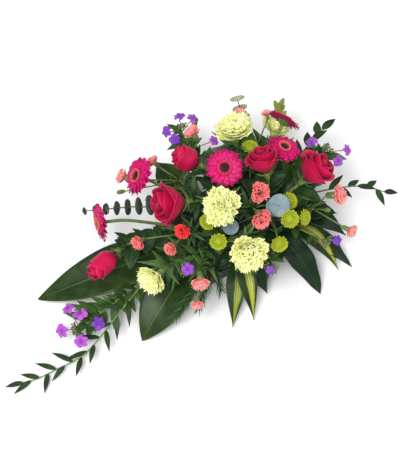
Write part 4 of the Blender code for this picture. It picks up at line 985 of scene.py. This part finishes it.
def needle_sprig():
    """Low sprig whose branches are set with short needles."""
    name = "needle_sprig"
    fork = Vector(NEEDLE_FORK)
    out, way = way_out(fork)
    route = [out - way * STEM_DEPTH, fork]
    stand(name, route, TWIG)
    form = Form()
    tube(form, route, TWIG, 7, slot=1)
    for tip in NEEDLE_TIPS:
        branch = [fork - (Vector(tip) - fork).normalized() * 1.5, Vector(tip)]
        tube(form, branch, [1.3, 0.6], 7, slot=1)
        take(name, *branch, 6)
        count = round((branch[1] - branch[0]).length / NEEDLE_STEP)
        for k in range(count):
            start, tangent = point_at(branch, 0.18 + 0.82 * k / count)
            ahead = leaf_way(tangent, k * NEXT_TURN, 38 - 10 * k / count)
            long = 17 + 4 * math.sin(1.3 * k)
            tube(form, [start, start + ahead * 0.5 * long, start + ahead * long], [0.6, 0.8, 0.15], 4,
                 (0.5 + 0.5 * math.sin(3.3 * k), 0, 0))
    form.make(name + "_needles", name, "leaf_green", "needle", "twig")


def pittosporum():
    """Twig with whorls of small oval leaves."""
    name = "pittosporum"
    end = Vector(PITTOSPORUM_TIP)
    out, way = way_out(end)
    route = [out - way * STEM_DEPTH, end]
    stand(name, route, TWIG)
    form = Form()
    tube(form, route, [TWIG, 0.6 * TWIG], 7)
    for k in range(PITTOSPORUM_LEAVES):
        start, tangent = point_at(route, 0.55 + 0.45 * k / PITTOSPORUM_LEAVES)
        ahead = leaf_way(tangent, k * NEXT_TURN, 60 - 3 * k)
        tip = start + ahead * PITTOSPORUM_LEAF
        if is_clear(name, start + ahead * 5, tip, 4):
            small_leaf(form, start - ahead, tip, 10, 0.1, "pittosporum", k)
            take(name, start, tip, 4)
    form.make(name + "_leaves", name, "stripe_green", "twig", "pittosporum")


# materials

def seen(red, green_part, blue):
    """Linear colour for one as seen, each part from 0 to 255."""
    parts = []
    for part in (red, green_part, blue):
        share = part / 255
        parts.append(share / 12.92 if share <= 0.04045 else ((share + 0.055) / 1.055) ** 2.4)
    return (*parts, 1.0)


class Look:
    """A material, with short calls for the nodes that its surface is worked out with."""

    def __init__(self, name, roughness, **fixed):
        self.material = bpy.data.materials.new(name + "_look")
        self.material.use_nodes = True
        self.nodes = self.material.node_tree.nodes
        self.links = self.material.node_tree.links
        self.shader = self.nodes["Principled BSDF"]
        self.shader.inputs["Roughness"].default_value = roughness
        for key, value in fixed.items():
            self.shader.inputs[key.replace("_", " ")].default_value = value
        place = self.nodes.new("ShaderNodeUVMap")
        place.uv_map = "form"
        split = self.nodes.new("ShaderNodeSeparateXYZ")
        self.links.new(place.outputs[0], split.inputs[0])
        self.across, self.along = split.outputs[0], split.outputs[1]
        # trait: a chance for each petal or leaf, 1 on undersides, and the petal's tier, near 0 at the heart
        # of roses and carnations, in the middle of buttons and on the lowest rays of gerberas, at random on
        # phlox; the petal looks paint shade on the low tiers
        trait = self.nodes.new("ShaderNodeAttribute")
        trait.attribute_name = "trait"
        split = self.nodes.new("ShaderNodeSeparateXYZ")
        self.links.new(trait.outputs["Vector"], split.inputs[0])
        self.chance, self.under, self.tier = split.outputs
        self.where = self.nodes.new("ShaderNodeTexCoord").outputs["Object"]

    def feed(self, socket, value):
        """Link a socket, or set it to a number or a colour as seen."""
        if isinstance(value, bpy.types.NodeSocket):
            self.links.new(value, socket)
        else:
            socket.default_value = seen(*value) if isinstance(value, tuple) else value

    def maths(self, operation, a, b=0.0):
        """One sum on two values."""
        node = self.nodes.new("ShaderNodeMath")
        node.operation = operation
        self.feed(node.inputs[0], a)
        self.feed(node.inputs[1], b)
        return node.outputs[0]

    def step(self, value, low, high, least=0.0, most=1.0):
        """Smooth step of a value from least at low to most at high."""
        node = self.nodes.new("ShaderNodeMapRange")
        node.interpolation_type = "SMOOTHSTEP"
        for socket, number in zip(node.inputs, (value, low, high, least, most)):
            self.feed(socket, number)
        return node.outputs[0]

    def mix(self, share, first, second):
        """Blend of two colours."""
        node = self.nodes.new("ShaderNodeMix")
        node.data_type = "RGBA"
        for index, value in ((0, share), (6, first), (7, second)):
            self.feed(node.inputs[index], value)
        return node.outputs[2]

    def noise(self, scale, detail=2.0):
        """Noise through the piece's space, 0 to 1."""
        node = self.nodes.new("ShaderNodeTexNoise")
        node.inputs["Scale"].default_value = scale
        node.inputs["Detail"].default_value = detail
        self.links.new(self.where, node.inputs["Vector"])
        return node.outputs[0]

    def stripes(self, value, count, sharp=1.0):
        """Rises and falls this many times as the value goes from 0 to 1."""
        turns = self.maths("MULTIPLY", value, count * math.tau)
        wave = self.maths("MULTIPLY_ADD", self.maths("SINE", turns), 0.5)
        wave.node.inputs[2].default_value = 0.5
        return self.maths("POWER", wave, sharp)

    def from_middle(self):
        """0 at the midrib, 1 at the edges."""
        shifted = self.maths("SUBTRACT", self.across, 0.5)
        return self.maths("MULTIPLY", self.maths("ABSOLUTE", shifted), 2.0)

    def bump(self, height, strength, distance=0.0006):
        """Raise the surface by a height."""
        node = self.nodes.new("ShaderNodeBump")
        node.inputs["Strength"].default_value = strength
        node.inputs["Distance"].default_value = distance
        self.feed(node.inputs["Height"], height)
        self.links.new(node.outputs[0], self.shader.inputs["Normal"])

    def finish(self, colour):
        """Set the surface's colour; returns the material."""
        self.feed(self.shader.inputs["Base Color"], colour)
        return self.material


def petal_look(name, root, body, edge, deep_and_shade, roughness, veins, sheen, grown=(0.0, 0.45),
               rim=0.78, inner=0.7, vary=0.25):
    """Petal: coloured from root to edge, with fine veins, each petal a little different; the darker root and
    the deeper colour of the heart's petals are partly painted shade, the paler rim partly a painted
    highlight.
    """
    look = Look(name, roughness, Subsurface_Weight=0.08, Subsurface_Scale=0.003, Sheen_Weight=sheen,
                Specular_IOR_Level=0.22)
    # darker towards the root: partly painted shade down in the bloom, as in the carnations' gaps, and partly
    # the petals' own darker base, as the phlox's eye
    colour = look.mix(look.step(look.along, *grown), root, body)
    # paler at the rim and sides: partly a painted highlight on the lit rims and frills, partly the petals'
    # own paler edge
    pale_rim_and_highlight = look.maths("MAXIMUM", look.step(look.along, rim, 1.0),
                        look.step(look.from_middle(), 0.84, 1.0, 0.0, 0.6))
    colour = look.mix(pale_rim_and_highlight, colour, edge)
    # the petals of the low tiers take the deeper colour: painted shade at the heart of roses and carnations;
    # it also darkens the lowest rays of gerberas, gives buttons partly their own greener middle, and gives
    # phlox lobes, whose tier is at random, a chance deeper tone
    colour = look.mix(look.step(look.tier, 0.6, 0.0, 0.0, inner), colour, deep_and_shade)
    colour = look.mix(look.step(look.chance, 0.0, 1.0, 0.0, vary), colour, deep_and_shade)
    vein = look.stripes(look.across, veins, 4.0)
    colour = look.mix(look.maths("MULTIPLY", vein, 0.16), colour, deep_and_shade)
    cloud = look.step(look.noise(160.0, 3.0), 0.35, 0.7, 0.0, 0.14)
    colour = look.mix(cloud, colour, edge)
    look.bump(look.maths("ADD", look.maths("MULTIPLY", vein, 0.6), look.noise(900.0)), 0.25)
    return look.finish(colour)


def leaf_look(name, dark, light, rib, under, roughness, veins, slant=0.0, stripe=None, coat=0.0):
    """Leaf: darker between its veins, with a pale midrib and edge and a lighter underside."""
    look = Look(name, roughness, Specular_IOR_Level=0.2, Coat_Weight=coat, Coat_Roughness=0.25,
                Subsurface_Weight=0.04, Subsurface_Scale=0.003)
    side = look.from_middle()
    colour = look.mix(look.step(look.noise(45.0, 4.0), 0.35, 0.68), dark, light)
    place = look.across
    if slant:
        place = look.maths("SUBTRACT", look.along, look.maths("MULTIPLY", side, slant))
    vein = look.stripes(place, veins, 3.0)
    colour = look.mix(look.maths("MULTIPLY", vein, 0.22), colour, rib)
    if stripe:
        wander = look.maths("ADD", look.across, look.maths("MULTIPLY", look.noise(60.0, 3.0), 0.12))
        band = look.step(look.maths("ABSOLUTE", look.maths("SUBTRACT", wander, 0.68)), 0.26, 0.10)
        grown = look.step(look.along, 0.1, 0.7, 0.25)
        streak = look.maths("ADD", look.stripes(look.across, 9, 1.0), 0.45)
        share = look.maths("MULTIPLY", look.maths("MULTIPLY", band, grown), streak)
        colour = look.mix(share, colour, stripe)
    middle = look.step(side, 0.055, 0.015)
    colour = look.mix(look.maths("MULTIPLY", middle, 0.5), colour, rib)
    colour = look.mix(look.step(side, 0.955, 1.0, 0.0, 0.55), colour, rib)
    colour = look.mix(look.maths("MULTIPLY", look.under, 0.65), colour, under)
    colour = look.mix(look.step(look.chance, 0.0, 1.0, 0.0, 0.35), colour, light)
    relief = look.maths("ADD", look.maths("MULTIPLY", vein, 0.7), look.maths("MULTIPLY", middle, 2.0))
    look.bump(look.maths("ADD", relief, look.maths("MULTIPLY", look.noise(400.0), 0.5)), 0.35)
    return look.finish(colour)


def plain_look(name, low, high, roughness, scale=220.0, bump=0.3):
    """Stem, calyx or plastic: two tones mixed by noise, with a fine relief."""
    look = Look(name, roughness)
    tone = look.step(look.noise(scale, 4.0), 0.35, 0.65)
    tone = look.maths("MULTIPLY", look.maths("ADD", tone, look.chance), 0.6)
    look.bump(look.noise(scale * 4, 3.0), bump)
    return look.finish(look.mix(tone, low, high))


def foam_look():
    """Wet floral foam: dark green with open pores."""
    look = Look("wet_foam", 0.85)
    cells = look.nodes.new("ShaderNodeTexVoronoi")
    cells.inputs["Scale"].default_value = 900.0
    look.links.new(look.where, cells.inputs["Vector"])
    pore_depth_and_shade = look.step(cells.outputs[0], 0.1, 0.6)
    look.bump(pore_depth_and_shade, 0.6, 0.0008)
    # the pores painted darker: painted shade in the holes
    colour = look.mix(pore_depth_and_shade, (6, 18, 12), (24, 48, 30))
    return look.finish(look.mix(look.step(look.noise(30.0), 0.3, 0.7, 0.0, 0.5), colour, (14, 32, 20)))


# petals: colour at the root, of the body, at the edge and a deeper one, as seen; roughness, veins and sheen;
# where the body's colour starts and is full; where the edge starts; and how much of the deeper colour the
# petals at the heart have, and chance ones. The root colour is partly painted shade down in the bloom and
# partly the petals' own darker base; the edge colour is partly a painted highlight on the rims; the deeper
# colour is painted shade on the heart's petals and the petals' own deeper tone on chance ones and in veins
PETAL_LOOKS = {
    "rose_petal": ((104, 0, 34), (186, 2, 66), (198, 8, 76), (100, 0, 32), 0.5, 18, 0.04),
    "gerbera_petal": ((160, 0, 76), (206, 0, 100), (222, 14, 122), (146, 0, 74), 0.45, 3, 0.03, (0.0, 0.3)),
    "carnation_petal": ((158, 168, 58), (232, 235, 142), (249, 249, 194), (186, 192, 84),
                        0.6, 22, 0.03, (0.3, 0.75), 0.82, 0.15),
    "coral_petal": ((150, 6, 22), (232, 56, 66), (252, 160, 152), (200, 26, 42),
                    0.6, 20, 0.03, (0.3, 0.7), 0.84, 0.4),
    "scarlet_petal": ((168, 4, 18), (244, 26, 40), (250, 80, 82), (196, 8, 24),
                      0.6, 20, 0.03, (0.3, 0.7), 0.86, 0.4),
    "pink_petal": ((200, 40, 52), (244, 116, 116), (252, 188, 184), (222, 70, 76),
                   0.6, 20, 0.03, (0.3, 0.7), 0.8, 0.35),
    "button_floret": ((116, 130, 14), (178, 192, 34), (204, 214, 62), (124, 138, 18),
                      0.55, 3, 0.05, (0.2, 0.9), 0.85, 0.5),
    "phlox_petal": ((104, 14, 120), (176, 78, 190), (198, 120, 214), (84, 40, 172),
                    0.5, 9, 0.05, (0.0, 0.4), 0.8, 0.3, 0.9),
}
# leaves: dark and light colour of the blade, of its ribs and of its underside, as seen; roughness, veins,
# how far these slant, colour of a stripe, and gloss
LEAF_LOOKS = {
    "aspidistra": ((10, 32, 8), (36, 62, 18), (92, 118, 50), (50, 80, 38), 0.36, 34, 0.0, None, 0.04),
    "striped_leaf": ((8, 30, 14), (24, 52, 20), (84, 112, 42), (52, 88, 42),
                     0.36, 26, 0.0, (178, 184, 56), 0.04),
    "glossy_leaf": ((6, 24, 14), (18, 42, 22), (58, 86, 46), (40, 70, 38), 0.34, 14, 0.35, None, 0.06),
    "rose_leaf": ((13, 35, 16), (34, 62, 27), (76, 104, 50), (60, 92, 54), 0.38, 9, 0.3),
    "carnation_leaf": ((54, 86, 48), (86, 118, 64), (120, 148, 88), (92, 122, 82), 0.5, 6),
    "soft_leaf": ((28, 60, 20), (58, 94, 34), (104, 134, 58), (80, 112, 60), 0.48, 8, 0.4),
    "pittosporum": ((92, 112, 32), (140, 156, 60), (184, 192, 110), (120, 140, 70), 0.36, 7, 0.3),
    "dark_eucalyptus": ((58, 66, 58), (92, 100, 90), (120, 128, 116), (70, 78, 68), 0.6, 9, 0.5),
    "pale_eucalyptus": ((132, 134, 108), (176, 178, 150), (190, 192, 168), (116, 122, 98), 0.6, 9, 0.5),
    "blue_eucalyptus": ((96, 116, 116), (134, 154, 160), (150, 166, 168), (84, 102, 92), 0.6, 9, 0.5),
}
# the rest: darker and lighter colour, as seen, roughness, fineness of the grain and relief
PLAIN_LOOKS = {
    "gerbera_ring": ((196, 84, 70), (222, 132, 92), 0.6),
    "gerbera_eye": ((18, 4, 10), (44, 10, 24), 0.55),
    "phlox_tube": ((104, 70, 96), (150, 132, 136), 0.5),
    "needle": ((20, 52, 24), (72, 108, 48), 0.45),
    "stem": ((60, 86, 36), (106, 130, 62), 0.45),
    "twig": ((60, 70, 44), (98, 104, 70), 0.6),
    "tray": ((8, 28, 18), (14, 38, 26), 0.4, 500.0, 0.08),
}


def make_looks():
    """All the materials by name."""
    looks = {"wet_foam": foam_look()}
    for table, make in ((PETAL_LOOKS, petal_look), (LEAF_LOOKS, leaf_look), (PLAIN_LOOKS, plain_look)):
        looks.update({name: make(name, *row) for name, row in table.items()})
    return looks


# light, floor and camera

def area_light(name, place, aim, size, power):
    """Soft square light that points at a place."""
    lamp = bpy.data.lights.new(name, "AREA")
    lamp.size = size
    lamp.energy = power
    light = add_object(name, lamp)
    light.location = place
    light.rotation_euler = (Vector(aim) - Vector(place)).to_track_quat("-Z", "Y").to_euler()


def studio():
    """Pale floor, even surrounding light and two soft lamps."""
    world = bpy.data.worlds.new("studio")
    bpy.context.scene.world = world
    world.use_nodes = True
    light = world.node_tree.nodes["Background"].inputs
    light[0].default_value = (1.0, 1.0, 1.0, 1.0)
    light[1].default_value = 0.58
    area_light("key", (-1.1, -0.75, 2.3), (-0.07, 0.0, 0.05), 1.1, 64.0)
    area_light("fill", (1.2, -0.3, 1.3), (-0.07, 0.0, 0.05), 1.2, 5.0)
    mesh = bpy.data.meshes.new("floor")
    wide = 30.0
    mesh.from_pydata([(-wide, -wide, 0), (wide, -wide, 0), (wide, wide, 0), (-wide, wide, 0)], [],
                     [(0, 1, 2, 3)])
    floor = add_object("floor", mesh)
    paper = bpy.data.materials.new("white_paper")
    paper.use_nodes = True
    shader = paper.node_tree.nodes["Principled BSDF"]
    shader.inputs["Base Color"].default_value = (0.93, 0.93, 0.93, 1.0)
    shader.inputs["Roughness"].default_value = 0.9
    mesh.materials.append(paper)
    bpy.context.scene.view_settings.view_transform = "Standard"


def camera():
    """Camera at the photograph's angle."""
    bearing, pitch = math.radians(CAMERA_BEARING), math.radians(CAMERA_PITCH)
    level = math.cos(pitch)
    back = Vector((math.sin(bearing) * level, -math.cos(bearing) * level, math.sin(pitch)))
    right = Vector((math.cos(bearing), math.sin(bearing), 0.0))
    lens = bpy.data.cameras.new("camera")
    lens.lens = CAMERA_LENS
    lens.sensor_width = 36.0
    lens.clip_start = 0.01
    eye = add_object("camera", lens)
    eye.location = (CAMERA_AIM + back * CAMERA_DISTANCE) * MM
    eye.rotation_euler = Matrix((right, back.cross(right), back)).transposed().to_euler()
    bpy.context.scene.camera = eye


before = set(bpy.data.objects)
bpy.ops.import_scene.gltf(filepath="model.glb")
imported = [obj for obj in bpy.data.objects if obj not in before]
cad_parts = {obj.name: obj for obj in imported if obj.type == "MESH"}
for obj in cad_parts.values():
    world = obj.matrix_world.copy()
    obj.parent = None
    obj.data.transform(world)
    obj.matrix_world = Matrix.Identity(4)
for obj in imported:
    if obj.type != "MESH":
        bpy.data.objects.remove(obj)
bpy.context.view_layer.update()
camera()
studio()
LOOKS = make_looks()
TAKEN = []
WISHES = []
FILLED = []
SHOWN = []
GREENS = {}

for table, grow in ((ROSES, rose), (GERBERAS, gerbera), (CARNATIONS, carnation), (SPRAY_CARNATIONS, spray),
                    (BUTTONS, buttons), (PHLOX, phlox), (LEAF_FANS, leaf_fan), (RUSCUS, ruscus),
                    (EUCALYPTUS, eucalyptus)):
    for name, row in table.items():
        grow(name, *row)
needle_sprig()
pittosporum()
grow_leaves()
fill_leaves()
for node, form in GREENS.items():
    form.make(node + "_greens", node, "leaf_green", "stem", "rose_leaf", "carnation_leaf", "soft_leaf")
for node, look in (("foam", "wet_foam"), ("tray", "tray")):
    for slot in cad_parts[node].material_slots:
        slot.link = "OBJECT"
        slot.material = LOOKS[look]
